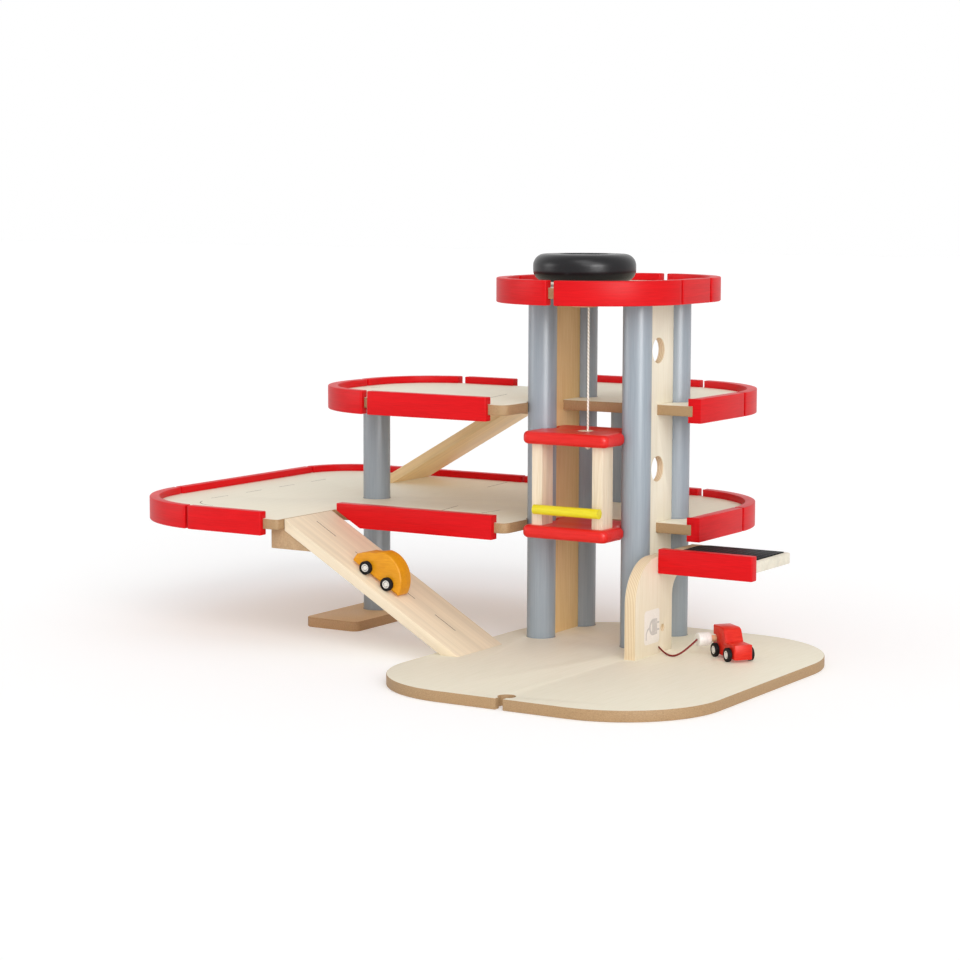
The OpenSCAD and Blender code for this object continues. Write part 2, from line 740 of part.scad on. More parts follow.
module pillar_back_left() color(grey) at_tower() difference() {
    pillar(0, shaft_d, base_top, roof_low);
    panel_groove(0, shaft_d, -1);
}

module pillar_back_right() color(grey) at_tower() difference() {
    pillar(shaft_w, shaft_d, base_top, roof_low);
    panel_groove(shaft_w, shaft_d, -1);
}

module pillar_deck_lower() color(grey) at_tower() pillar(-deck_pillar_left, deck_pillar_back, board_t, d1_low);

module pillar_deck_upper() color(grey) at_tower() pillar(-deck_pillar_left, deck_pillar_back, d1_top, d2_low);

module pillar_rear() color(grey) at_tower() pillar(0, rear_pillar_back, d1_top, d2_low);

module panel_left() color(ply) at_tower() shaft_panel(0);

module panel_right() color(ply) at_tower() difference() {
    shaft_panel(shaft_w);
    for (z = [d1_top, d2_top]) translate([shaft_w - panel_t, window_back, z + storey_clear / 2])
        rotate([0, 90, 0]) cylinder(h = 2 * panel_t, d = window_d);
}

// Ramps
module ramp_lower() color(beech) at_tower() ramp(ramp_low_x, ramp_low_y0, ramp_low_w, base_top, d1_top, 1);

module ramp_upper() color(beech) at_tower() ramp(ramp_high_x, ramp_high_y0, ramp_high_w, d1_top, d2_top, -1);

module ramp_blocks() color(ply) at_tower() {
    ramp_block(ramp_low_x, -ramp_edge_lower, ramp_low_y0, ramp_low_w, d1_top, 1);
    ramp_block(ramp_high_x, -ramp_edge_upper, ramp_high_y0, ramp_high_w, d2_top, -1);
}

// Rims of the lower deck
module deck_1_rim_left_end() color(red) at_tower()
    rim(1, -lower_left - over, -wing_front - over, wing_front_r - lower_left - rim_gap * 4, wing_front_r - wing_front - rim_gap);

module deck_1_rim_front_left() color(red) at_tower()
    rim(1, wing_front_r - lower_left - rim_gap * 3, -wing_front - over, -ramp_edge_lower - bare_wing, rim_t + over - wing_front);

module deck_1_rim_front() color(red) at_tower() difference() {
    rim(1, ramp_low_x, -lower_front - over, -deck_bay_left - bare_bay + edge_in, rim_t + over - lower_front);
    translate([0, over - lower_front + rim_t, 0]) rotate([90, 0, 0]) linear_extrude(height = rim_t + 2 * over)
        translate([rim_t / 2, 0]) polygon([[ramp_low_x, d1_top], [ramp_low_x + board_t * 4, d1_top - board_t * 4 * ramp_fall],
            [ramp_low_x - board_t, d1_top - board_t * 4 * ramp_fall], [ramp_low_x - board_t, d1_top + board_t],
            [ramp_low_x, d1_top + board_t]]);
}

module deck_1_rims_back() color(red) at_tower() {
    rim(1, -lower_left - over, wing_front_r - wing_front, rim_t + rim_gap - lower_left, deck_back - lower_back_r + rim_t - rim_gap);
    rim(1, -lower_left - over, deck_back - lower_back_r + rim_t, lower_back_r - lower_left, deck_back + over);
    rim(1, lower_back_r - lower_left + rim_gap, deck_back - 2 * rim_t, -deck_pillar_left * 3 / 4, deck_back + over);
    rim(1, -deck_pillar_left * 3 / 4 + rim_gap, deck_back - 2 * rim_t, shaft_mid - 2 * rim_gap, deck_back + over);
}

module right_rims(level) {
    rim(level, deck_right - rim_t - rim_gap, deck_front, deck_right + over, deck_back - corner_right_r);
    rim(level, shaft_mid, deck_back - corner_right_r + rim_gap, deck_right + over, deck_back + over);
}

module deck_1_rims_right() color(red) at_tower() right_rims(1);

// Rims of the upper deck
module deck_2_rim_left_end() color(red) at_tower()
    rim(2, -upper_left - over, -upper_front - over, upper_front_r - upper_left - rim_gap * 4, upper_wing_back - upper_back_r - 4 * rim_gap);

module deck_2_rim_front() color(red) at_tower()
    rim(2, upper_front_r - upper_left - rim_gap * 2, -upper_front - over, -deck_bay_left - bare_bay, rim_t + over - upper_front);

module deck_2_rims_back() color(red) at_tower() {
    rim(2, -upper_left - over, upper_wing_back - upper_back_r - 3 * rim_gap, upper_back_r - upper_left - 2 * lobe_gap, upper_wing_back + over);
    rim(2, upper_back_r - upper_left - lobe_gap, upper_wing_back - 2 * rim_t, -ramp_edge_upper - bare_wing, upper_wing_back + over);
    rim(2, rim_gap - ramp_edge_upper, deck_back - 2 * rim_t, shaft_mid - 2 * rim_gap, deck_back + over);
}

module deck_2_rims_right() color(red) at_tower() right_rims(2);

// Rims of the roof
module roof_rims_curved() color(red) at_tower() {
    rim(3, shaft_mid - roof_r - over, roof_front_c - roof_r - over, shaft_mid, roof_front_c);
    rim(3, shaft_mid + roof_gap, roof_front_c - roof_r - over, shaft_mid + roof_r + over, roof_front_c - 2 * rim_gap);
    rim(3, shaft_mid - roof_r - over, roof_back_c + rim_gap, shaft_mid - roof_gap / 2, roof_back_c + roof_r + over);
    rim(3, shaft_mid + roof_gap / 2, roof_back_c + rim_gap, shaft_mid + roof_r + over, roof_back_c + roof_r + over);
}

module roof_rims_straight() color(red) at_tower() {
    rim(3, shaft_mid - roof_r - over, roof_front_c + rim_gap, shaft_mid - roof_r + 2 * rim_t, roof_back_c);
    rim(3, shaft_mid + roof_r - 2 * rim_t, roof_front_c - rim_gap, shaft_mid + roof_r + over, roof_back_c);
}

// Winding knob, spindle, drum and cord
module knob_tyre() color(black) at_tower() translate([knob_x, knob_y, tyre_z]) difference() {
    union() {
        cylinder(h = tyre_h, r = tyre_d / 2 - tyre_r);
        translate([0, 0, tyre_r]) cylinder(h = tyre_h - 2 * tyre_r, d = tyre_d);
        for (z = [tyre_r, tyre_h - tyre_r]) translate([0, 0, z])
            rotate_extrude() translate([tyre_d / 2 - tyre_r, 0]) circle(r = tyre_r);
    }
    translate([0, 0, -over]) cylinder(h = well_in + over, d = well_d);
    translate([0, 0, tyre_h - dish_in]) cylinder(h = dish_in + over, d = dish_d);
    cylinder(h = tyre_h - dish_in - cap_up, d = spindle_d + 2 * fit);
    translate([0, 0, tyre_h - dish_in - cap_up - fit]) cylinder(h = tyre_h, d = cap_d + 2 * fit);
}

module knob_cap() color(ply) at_tower()
    rod(knob_x, knob_y, tyre_z + tyre_h - dish_in - cap_up, tyre_z + tyre_h - dish_in + cap_up, cap_d);

module spindle() color(cream) at_tower() {
    rod(knob_x, knob_y, boss_z, tyre_z + tyre_h - dish_in - cap_up - fit, spindle_d);
    rod(knob_x, knob_y, boss_z, boss_z + head_h, head_d);
}

module cord_drum() color(beech) at_tower() difference() {
    rod(knob_x, knob_y, roof_top + drum_up, tyre_z + well_in - fit, drum_d);
    rod(knob_x, knob_y, roof_top, tyre_z + well_in + over, spindle_d + 2 * fit);
}

module spindle_boss() color(beech) at_tower() difference() {
    rod(knob_x, knob_y, boss_z, roof_low, boss_d);
    rod(knob_x, knob_y, boss_z - over, roof_low + over, spindle_d + 2 * run);
    rod(knob_x, knob_y, boss_z - over, boss_z + head_h + fit, head_d + 4 * fit);
    rod(cord_x, cord_y, boss_z - over, roof_low + over, cord_bore);
}

module cord_turns() color(cream) at_tower() for (i = [1 : cord_turn_count])
    translate([knob_x, knob_y, lead_z + i * (cord_d + fit) + 2 * fit]) rotate_extrude()
        translate([wind_r, 0]) circle(d = cord_d);

module cord_lead() color(cream) at_tower() {
    translate([cord_x, cord_y + cord_bend, lead_z - cord_bend]) rotate([90, 0, -90])
        rotate_extrude(angle = 90) translate([cord_bend, 0]) circle(d = cord_d);
    rod(cord_x, cord_y, boss_z, lead_z - cord_bend, cord_d);
}

module lift_cord() color(cream) at_tower() rod(cord_x, cord_y, lift_top_z + lift_t, boss_z, cord_d);

module cord_tail() color(cream) at_tower() {
    rod(cord_x, cord_y, lift_top_z - knot_d / 2, lift_top_z + lift_t, cord_d);
    translate([cord_x, cord_y, lift_top_z - knot_d / 2]) sphere(d = knot_d);
}

// Lift
module lift_floor() color(red) at_tower() difference() {
    lift_plate(lift_floor_z);
    for (s = [-1, 1]) post_mortise(s);
}

module lift_top() color(red) at_tower() difference() {
    lift_plate(lift_top_z);
    for (s = [-1, 1]) post_mortise(s);
    rod(cord_x, cord_y, lift_top_z - over, lift_top_z + lift_t + over, cord_d + 2 * fit);
    rod(cord_x - disc_off, cord_y, lift_top_z + lift_t - disc_t - fit, lift_top_z + lift_t + over, disc_d + 2 * fit);
}

module lift_posts() color(ply) at_tower() difference() {
    for (s = [-1, 1]) lift_post(s);
    translate([bar_x0 + bar_pivot_in, post_y0 + bar_pin_in + fit, bar_z]) rotate([90, 0, 0])
        cylinder(h = bar_pin_in + fit + over, d = bar_pin_d + 2 * fit);
}

module lift_disc() color(ply) at_tower() difference() {
    rod(cord_x - disc_off, cord_y, lift_top_z + lift_t - disc_t, lift_top_z + lift_t, disc_d);
    rod(cord_x, cord_y, lift_top_z, lift_top_z + lift_t + over, cord_d + 2 * fit);
}

module lift_barrier() color(yellow) at_tower() difference() {
    translate([bar_x0, bar_y, bar_z]) rotate([0, 90, 0]) cylinder(h = bar_l, d = bar_d);
    translate([bar_x0 + bar_pivot_in, bar_y + bar_d / 2 + over, bar_z]) rotate([90, 0, 0])
        cylinder(h = 3 * bar_d / 4 + over, d = bar_pin_d + 2 * run);
}

module barrier_pin() color(ply) at_tower() translate([bar_x0 + bar_pivot_in, post_y0 + bar_pin_in, bar_z])
    rotate([90, 0, 0]) cylinder(h = bar_pin_in + bar_gap + 3 * bar_d / 4 - 2 * fit, d = bar_pin_d);

// Charging bay
module charger_board() color(ply) at_tower() difference() {
    union() {
        translate([charger_x, 0, base_top]) rotate([90, 0, -90]) linear_extrude(height = charger_t)
            rotate([0, 180, 0]) difference() {
                translate([-charger_front, 0]) square([charger_front + charger_back, charger_h]);
                corner_off(-charger_front, charger_h, charger_r, 1, -1);
                difference() {
                    translate([charger_leg - charger_front, -over])
                        square([charger_back + charger_front, charger_h - charger_arm + over]);
                    corner_off(charger_leg - charger_front, charger_h - charger_arm, charger_fillet, 1, -1);
                }
            }
        box(charger_x - 3 * charger_t / 4, charger_leg / 4 - charger_front, base_top - socket,
            charger_x - charger_t / 4, 3 * charger_leg / 4 - charger_front, base_top + over);
    }
    box(charger_x - tenon_in - fit, fascia_y + canopy_d / 4 - fit, canopy_low + board_t / 4 - fit,
        charger_x + over, fascia_y + 3 * canopy_d / 4 + fit, canopy_low + board_t / 4 + tenon_h + fit);
    translate([charger_x - charger_t - over, -park_front, base_top + park_up]) rotate([0, 90, 0])
        cylinder(h = charger_t + 2 * over, d = park_d);
    translate([charger_x - charger_t / 2 - fit, -exit_front, exit_z]) rotate([0, 90, 0])
        cylinder(h = charger_t + over, d = ev_cord_d + 2 * fit);
}

module canopy_board() color(ply) at_tower() {
    plate(canopy_low, board_t) plan_rect(charger_x, fascia_y + edge_in, charger_x + canopy_l, fascia_y + canopy_d,
        0, 0, solar_margin, 0);
    box(charger_x - tenon_in, fascia_y + canopy_d / 4, canopy_low + board_t / 4, charger_x + over,
        fascia_y + 3 * canopy_d / 4, canopy_low + board_t / 4 + tenon_h);
}

module canopy_fascia() color(red) at_tower() difference() {
    box(charger_x + fit, fascia_y, canopy_low - rim_down, charger_x + fascia_l, fascia_y + rim_t, canopy_top + rim_up);
    box(charger_x - over, fascia_y + edge_in - fit, canopy_low - fit, charger_x + canopy_l + fit,
        fascia_y + rim_t + over, canopy_top + fit);
}

module solar_panel() color(black) at_tower() plate(canopy_top, solar_t)
    plan_rect(charger_x + solar_left, fascia_y + rim_t + solar_left, charger_x + canopy_l - solar_margin,
        fascia_y + canopy_d - solar_margin, 0, 0, 0, 2 * solar_margin);

module ev_cord() color(wine) at_tower() tube(ev_path(), ev_cord_d / 2, ev_sides);

module ev_plug() color(cream) at_tower() translate([plug_x, plug_y, plug_axis_z]) rotate([0, 0, plug_dir])
    rotate([0, 90, 0]) difference() {
        cylinder(h = plug_l, d = plug_d);
        translate([0, 0, -over]) cylinder(h = plug_l / 2 + over, d = pin_d + 2 * fit);
    }

module ev_plug_pin() color(beech) at_tower() translate([port_px, port_py, plug_axis_z]) rotate([0, 0, plug_dir])
    rotate([0, 90, 0]) translate([0, 0, -pin_in]) cylinder(h = pin_in + pin_out + plug_l / 2 - fit, d = pin_d);

// Yellow car on the lower ramp
module yellow_car_body() color(amber) car_place_yellow() difference() {
    yellow_shell();
    axle_bores();
}

module yellow_front_tyres() color(black) car_place_yellow() tyres(wheelbase / 2);

module yellow_front_axle() color(cream) car_place_yellow() axle(wheelbase / 2);

module yellow_rear_tyres() color(black) car_place_yellow() tyres(-wheelbase / 2);

module yellow_rear_axle() color(cream) car_place_yellow() axle(-wheelbase / 2);

// Red car in the charging bay
module red_car_body() color(red) car_place_red() difference() {
    side_profile(car_w) red_profile();
    axle_bores();
    port_slot(pin_d + 6 * fit, pin_in + 3 * fit);
}

module red_front_tyres() color(black) car_place_red() tyres(wheelbase / 2);

module red_front_axle() color(cream) car_place_red() axle(wheelbase / 2);

module red_rear_tyres() color(black) car_place_red() tyres(-wheelbase / 2);

module red_rear_axle() color(cream) car_place_red() axle(-wheelbase / 2);

base_board();
foot_board();
deck_1();
deck_2();
roof_board();
pillar_front_left();
pillar_front_right();
pillar_back_left();
pillar_back_right();
pillar_deck_lower();
pillar_deck_upper();
pillar_rear();
panel_left();
panel_right();
ramp_lower();
ramp_upper();
ramp_blocks();
deck_1_rim_left_end();
deck_1_rim_front_left();
deck_1_rim_front();
deck_1_rims_back();
deck_1_rims_right();
deck_2_rim_left_end();
deck_2_rim_front();
deck_2_rims_back();
deck_2_rims_right();
roof_rims_curved();
roof_rims_straight();
knob_tyre();
knob_cap();
spindle();
cord_drum();
spindle_boss();
cord_turns();
cord_lead();
lift_cord();
cord_tail();
lift_floor();
lift_top();
lift_posts();
lift_disc();
lift_barrier();
barrier_pin();
charger_board();
canopy_board();
canopy_fascia();
solar_panel();
ev_cord();
ev_plug();
ev_plug_pin();
yellow_car_body();
yellow_front_tyres();
yellow_front_axle();
yellow_rear_tyres();
yellow_rear_axle();
red_car_body();
red_front_tyres();
red_front_axle();
red_rear_tyres();
red_rear_axle();
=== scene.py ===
"""Looks of a wooden toy parking garage: lacquered boards and rims, grey posts, a wound lift,
two ramps, a charging bay with solar cells and two small cars. Metres, in the frame of the part."""

import json
import math

import bpy
from mathutils import Matrix, Vector

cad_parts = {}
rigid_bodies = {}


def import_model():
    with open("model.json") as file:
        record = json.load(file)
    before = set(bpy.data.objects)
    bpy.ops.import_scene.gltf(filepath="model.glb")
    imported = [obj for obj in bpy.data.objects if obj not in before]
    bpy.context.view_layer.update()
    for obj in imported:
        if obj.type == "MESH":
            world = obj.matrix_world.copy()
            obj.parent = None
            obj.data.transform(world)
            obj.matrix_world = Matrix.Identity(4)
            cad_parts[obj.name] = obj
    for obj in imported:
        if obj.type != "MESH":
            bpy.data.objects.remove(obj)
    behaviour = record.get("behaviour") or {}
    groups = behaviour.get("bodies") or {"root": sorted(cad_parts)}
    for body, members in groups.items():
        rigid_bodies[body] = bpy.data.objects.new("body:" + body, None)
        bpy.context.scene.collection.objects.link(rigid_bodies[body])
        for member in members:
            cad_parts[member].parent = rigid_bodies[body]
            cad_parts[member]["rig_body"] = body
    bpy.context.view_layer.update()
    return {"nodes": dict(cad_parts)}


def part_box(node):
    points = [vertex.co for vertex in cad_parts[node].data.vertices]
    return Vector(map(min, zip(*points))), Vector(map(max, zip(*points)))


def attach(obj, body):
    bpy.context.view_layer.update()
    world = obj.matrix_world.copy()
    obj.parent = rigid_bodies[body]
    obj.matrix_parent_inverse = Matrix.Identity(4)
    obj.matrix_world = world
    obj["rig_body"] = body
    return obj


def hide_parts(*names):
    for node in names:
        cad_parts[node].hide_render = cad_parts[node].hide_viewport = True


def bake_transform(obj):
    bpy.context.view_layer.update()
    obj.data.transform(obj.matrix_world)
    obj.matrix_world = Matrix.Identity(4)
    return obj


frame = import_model()
MM = 0.001
NODE = frame["nodes"]
UP = Vector((0, 0, 1))


def middle(node):
    """The centre of a node's box."""
    low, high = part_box(node)
    return (Vector(low) + Vector(high)) / 2


def top_of(node):
    """The height of a node's highest point."""
    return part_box(node)[1][2]


# Places are given in millimetres from the axis of the tower's front left post
TOWER = middle("pillar_front_left")
BASE_TOP = top_of("base_board")


def at(x_mm, y_mm, z=0.0):
    """A place beside the tower's front left post, at a height in metres."""
    return Vector((TOWER.x + x_mm * MM, TOWER.y + y_mm * MM, z))


# Camera: it stands in front and to the right, and looks slightly down. Its turns are in degrees
CAMERA_AT = (0.99775, -1.81880, 0.40225)
CAMERA_TURN = 31.82
CAMERA_DIP = 6.64
CAMERA_ROLL = 0.169
FOCAL_PIXELS = 2522.3
PHOTO_PIXELS = 960
SENSOR_MM = 36.0
NEAREST = 0.1
FARTHEST = 30

camera_data = bpy.data.cameras.new("camera")
camera_data.sensor_width = SENSOR_MM
camera_data.lens = FOCAL_PIXELS / PHOTO_PIXELS * SENSOR_MM
camera_data.clip_start = NEAREST
camera_data.clip_end = FARTHEST
camera = bpy.data.objects.new("camera", camera_data)
bpy.context.scene.collection.objects.link(camera)
camera.matrix_world = (
    Matrix.Translation(CAMERA_AT)
    @ Matrix.Rotation(math.radians(CAMERA_TURN), 4, "Z")
    @ Matrix.Rotation(math.radians(90 - CAMERA_DIP), 4, "X")
    @ Matrix.Rotation(math.radians(CAMERA_ROLL), 4, "Z")
)
bpy.context.scene.camera = camera


# Finishes
COAT_ROUGHNESS = 0.25
NOISE_DETAIL = 4.0
NOISE_ROUGHNESS = 0.55
NOISE_WAVER = 0.4
CLOUD_TIMES = 6
CLOUD_DETAIL = 2.0
NOISE_LOW = 0.3
NOISE_HIGH = 0.7
# Bands along x in the Wave texture repeat after this many metres at scale 1
WAVE_REPEAT = 0.314


def colour(hex_code):
    """An sRGB hex value as the linear colour that a socket takes."""
    parts = [int(hex_code[i : i + 2], 16) / 255 for i in (1, 3, 5)]
    return (*(p / 12.92 if p <= 0.04045 else ((p + 0.055) / 1.055) ** 2.4 for p in parts), 1.0)


def add(tree, kind, links=None, values=None, **settings):
    """Adds a shader node, sets its properties and sockets, and links sockets to others' outputs."""
    made = tree.nodes.new(kind)
    for name, value in settings.items():
        setattr(made, name, value)
    for name, value in (values or {}).items():
        made.inputs[name].default_value = value
    for name, output in (links or {}).items():
        tree.links.new(output, made.inputs[name])
    return made


def start_material(name, roughness, coat=0.0, specular=0.5):
    """A new material with its main shader's gloss set."""
    material = bpy.data.materials.new(name)
    material.use_nodes = True
    tree = material.node_tree
    shader = tree.nodes["Principled BSDF"]
    shader.inputs["Roughness"].default_value = roughness
    shader.inputs["Coat Weight"].default_value = coat
    shader.inputs["Coat Roughness"].default_value = COAT_ROUGHNESS
    shader.inputs["Specular IOR Level"].default_value = specular
    return material, tree, shader


def shades(tree, factor, stops):
    """Turns a value from 0 to 1 into a colour between hex stops."""
    made = add(tree, "ShaderNodeValToRGB", {"Fac": factor})
    points = made.color_ramp.elements
    while len(points) < len(stops):
        points.new(0.5)
    for point, (place, hex_code) in zip(points, stops):
        point.position = place
        point.color = colour(hex_code)
    return made.outputs["Color"]


def bump(tree, shader, height, strength, depth_mm):
    """Raises the surface's shading by a pattern."""
    made = add(tree, "ShaderNodeBump", {"Height": height}, {"Strength": strength, "Distance": depth_mm * MM})
    tree.links.new(made.outputs["Normal"], shader.inputs["Normal"])


def grain(tree, grain_mm, turn=(0, 0, 0), detail=NOISE_DETAIL):
    """Noise whose cells have these lengths along x, y and z, in the piece's own coordinates."""
    place = add(tree, "ShaderNodeTexCoord")
    turned = add(tree, "ShaderNodeMapping", {"Vector": place.outputs["Object"]}, {"Rotation": turn})
    scaled = add(
        tree, "ShaderNodeMapping", {"Vector": turned.outputs["Vector"]},
        {"Scale": tuple(1 / (s * MM) for s in grain_mm)},
    )
    noise = add(
        tree, "ShaderNodeTexNoise", {"Vector": scaled.outputs["Vector"]},
        {"Scale": 1.0, "Detail": detail, "Roughness": NOISE_ROUGHNESS, "Distortion": NOISE_WAVER},
    )
    return noise.outputs["Fac"]


def wood(name, stops, grain_mm, roughness, turn=(0, 0, 0), coat=0.0, depth_mm=0.05, strength=0.35,
         cloud=0.12, specular=0.4):
    """Wood, or a thin film over it: fine streaks along the grain under a slow change of tone."""
    material, tree, shader = start_material(name, roughness, coat, specular)
    streaks = grain(tree, grain_mm, turn)
    slow = grain(tree, tuple(CLOUD_TIMES * s for s in grain_mm), turn, CLOUD_DETAIL)
    tone = add(
        tree, "ShaderNodeMapRange", {"Value": slow},
        {"From Min": NOISE_LOW, "From Max": NOISE_HIGH, "To Min": 1 - cloud, "To Max": 1 + cloud / 3},
    )
    shade = add(
        tree, "ShaderNodeVectorMath", {0: shades(tree, streaks, stops), "Scale": tone.outputs["Result"]},
        operation="SCALE",
    )
    tree.links.new(shade.outputs["Vector"], shader.inputs["Base Color"])
    bump(tree, shader, streaks, strength, depth_mm)
    return material


def two_faced(tree, shader, facing, limit, face, edge):
    """The face's colour where the surface faces its way by more than the limit, the edge's elsewhere."""
    flat = add(tree, "ShaderNodeMath", {0: facing}, {1: limit}, operation="GREATER_THAN")
    both = add(tree, "ShaderNodeMixRGB", {"Fac": flat.outputs["Value"], "Color1": edge, "Color2": face})
    tree.links.new(both.outputs["Color"], shader.inputs["Base Color"])


def normal_of(tree):
    """The surface's direction, split into x, y and z."""
    place = add(tree, "ShaderNodeTexCoord")
    return add(tree, "ShaderNodeSeparateXYZ", {"Vector": place.outputs["Normal"]})


# Fibreboard is pressed flat, so its specks are wider than they are high
SPECK_MM = (1.1, 1.1, 0.5)
TOOTH_MM = (0.8, 0.8, 0.5)
LOOKS_UP = 0.9


def faced_board(name, face, edge, face_mm):
    """A flat fibreboard: one finish on top, pressed fibre with felted specks at its cut edges."""
    material, tree, shader = start_material(name, 0.55, specular=0.3)
    top = shades(tree, grain(tree, face_mm, detail=5.0), face)
    fibre = shades(tree, grain(tree, SPECK_MM, detail=6.0), edge)
    two_faced(tree, shader, normal_of(tree).outputs["Z"], LOOKS_UP, top, fibre)
    bump(tree, shader, grain(tree, TOOTH_MM, detail=5.0), strength=0.3, depth_mm=0.06)
    return material


# Veneered medium density fibreboard: a smooth cream road above, brown fibre where it is cut
VENEERED = faced_board(
    "veneered_fibreboard", [(0.25, "#E6E0CA"), (0.5, "#EBE5D1"), (0.8, "#EEE9D7")],
    [(0.3, "#997955"), (0.5, "#AB8B65"), (0.75, "#BB9B76")], (0.9, 26, 26),
)

# Bare fibreboard: even brown with felted specks, plain brown fibre at its cut edges. Its top is painted
# lighter, as painted light where the deck above shades it
FIBREBOARD_PAINTED_LIGHT_TOP = faced_board(
    "fibreboard_painted_light_top", [(0.3, "#D8B68C"), (0.55, "#E6C599"), (0.8, "#ECCFA5")],
    [(0.3, "#A07B56"), (0.55, "#B08A63"), (0.8, "#BC9770")], (1.2, 1.2, 0.6),
)


# Plywood's layers, the streaks on its faces and the shades of its edge
PLY_MM = 1.5
PLY_STREAK_MM = (1.6, 1.6, 34)
PLY_EDGE = [(0.15, "#CDB089"), (0.45, "#E2CDAA"), (0.85, "#EBDABC")]
LOOKS_ACROSS = 0.85


def plywood(name, face):
    """Boards that stand across x: veneer grain on both faces, pale and brown layers at the edges."""
    material, tree, shader = start_material(name, 0.5, specular=0.3)
    streaks = grain(tree, PLY_STREAK_MM)
    place = add(tree, "ShaderNodeTexCoord")
    layers = add(
        tree, "ShaderNodeTexWave", {"Vector": place.outputs["Object"]},
        {"Scale": WAVE_REPEAT / (PLY_MM * MM), "Distortion": 0.5, "Detail": 2.0, "Detail Scale": 2.0},
        bands_direction="X",
    )
    across = add(tree, "ShaderNodeMath", {0: normal_of(tree).outputs["X"]}, operation="ABSOLUTE")
    plies = shades(tree, layers.outputs["Fac"], PLY_EDGE)
    two_faced(tree, shader, across.outputs["Value"], LOOKS_ACROSS, shades(tree, streaks, face), plies)
    bump(tree, shader, streaks, strength=0.3, depth_mm=0.05)
    return material


# The grain lines of these woods are a few tenths of a millimetre apart. At the size of the picture
# they would melt together, so all streaks are drawn 0.6 to 1.6 mm wide

# Birch plywood under clear lacquer: pale cream faces with upright streaks, thin plies at the edges
BIRCH = plywood("birch_plywood", [(0.2, "#DFD2B8"), (0.5, "#E4D9C2"), (0.8, "#E8DECA")])

# The same plywood made tan and darker: painted shade on the tower's left wall, which stands in the tower's
# shade
BIRCH_PAINTED_SHADE = plywood("birch_plywood_painted_shade", [(0.2, "#DFBA82"), (0.5, "#E9C68D"), (0.8, "#EECE99")])

# The same plywood made nearly ivory: painted light on the tower's right wall, which faces the main light
BIRCH_PAINTED_LIGHT = plywood("birch_plywood_painted_light", [(0.2, "#E9E0C8"), (0.5, "#EFE8D3"), (0.8, "#F3EDDB")])

# Planed birch board: ivory, with fine streaks from side to side
BIRCH_ACROSS = wood(
    "birch_board", [(0.2, "#DDD4C0"), (0.5, "#E2DBCA"), (0.8, "#E8E1D2")], (30, 1.6, 1.6), 0.5,
)

# Steamed beech, planed: warm and pale, with thin dark streaks that run down the ramp
RAMP_TILT = math.radians(30.1)
BEECH = wood(
    "steamed_beech_low", [(0.2, "#E7D5B8"), (0.5, "#EAD9BD"), (0.8, "#EDDDC3")], (38, 1.1, 1.1), 0.5,
    turn=(0, -RAMP_TILT, 0),
)

# The same beech with painted light: a brighter, more golden tone makes up for the shade on the upper ramp's
# side and underside. The upper ramp leans the other way, and so do its streaks
BEECH_UP_PAINTED_LIGHT = wood(
    "steamed_beech_high_painted_light", [(0.2, "#EBC893"), (0.5, "#F3D4A1"), (0.8, "#F7DCAE")], (38, 1.1, 1.1), 0.5,
    turn=(0, RAMP_TILT, 0),
)

# Rough-sawn beech block: browner and duller than the planed ramps, with streaks from front to back
BLOCK = wood(
    "sawn_beech_block", [(0.2, "#A98864"), (0.5, "#B79772"), (0.8, "#C1A37F")], (1.3, 22, 1.3), 0.6,
)

# Planed maple: creamy and close-grained, with upright streaks, on the lift's posts and small pieces
MAPLE = wood(
    "planed_maple", [(0.2, "#DCC5A4"), (0.5, "#E7D6BC"), (0.8, "#EDDFCA")], (1.0, 1.0, 22), 0.45,
)

# Beech turned on a lathe: reddish tan, with short fine streaks
TURNED = wood(
    "turned_beech", [(0.2, "#C69468"), (0.5, "#D7AB80"), (0.8, "#E2BD96")], (1.0, 12, 1.0), 0.5,
)

# Red water-based lacquer on beech strips: nearly matt, with the grain just showing along them
RED = wood(
    "red_lacquered_beech", [(0.15, "#C4080F"), (0.5, "#D50C14"), (0.85, "#DE141C")], (16, 16, 0.7), 0.4,
    cloud=0.07, depth_mm=0.06, specular=0.14,
)

# The same red in a thicker, polished coat: glossier and a little more orange, on the lift's plates
RED_GLOSS = wood(
    "red_gloss_lacquer", [(0.2, "#D01410"), (0.5, "#DC1D17"), (0.8, "#E32821")], (18, 1.4, 1.4), 0.35,
    coat=0.12, cloud=0.05, depth_mm=0.03, specular=0.25,
)

# Scarlet lacquer on a small solid block: smooth, with soft bright edges
CAR_RED = wood(
    "scarlet_lacquer", [(0.2, "#C9190F"), (0.5, "#D62617"), (0.8, "#DE3423")], (8, 8, 1.0), 0.34,
    coat=0.06, cloud=0.05, depth_mm=0.03, specular=0.2,
)

# Grey satin lacquer on round dowels: a bright line down each, and a faint upright grain
GREY = wood(
    "grey_lacquered_dowel", [(0.2, "#8D97A0"), (0.5, "#949EA7"), (0.8, "#9AA4AD")], (1.4, 1.4, 40), 0.4,
    coat=0.25, cloud=0.03, depth_mm=0.015, strength=0.2,
)

# Lemon yellow lacquer on a round stick: clean and slightly glossy
YELLOW = wood(
    "yellow_lacquer", [(0.2, "#D9C40C"), (0.5, "#E3D312"), (0.8, "#E9DC30")], (14, 1.0, 1.0), 0.35,
    coat=0.2, cloud=0.05, depth_mm=0.03,
)

# Amber stain under lacquer: the streaks of the wood show through as darker orange
AMBER = wood(
    "amber_lacquer", [(0.2, "#D0860E"), (0.5, "#DC9312"), (0.8, "#E4A022")], (10, 1.2, 1.2), 0.4,
    coat=0.08, cloud=0.06, depth_mm=0.03, specular=0.25,
)

# Black satin lacquer on a turned wooden ring: broad soft sheen, with open pores under the film
BLACK = wood(
    "black_lacquered_wood", [(0.2, "#0C0B0D"), (0.5, "#121114"), (0.8, "#19181B")], (5, 0.8, 0.8), 0.36,
    coat=0.3, depth_mm=0.15, strength=0.6, specular=0.15,
)

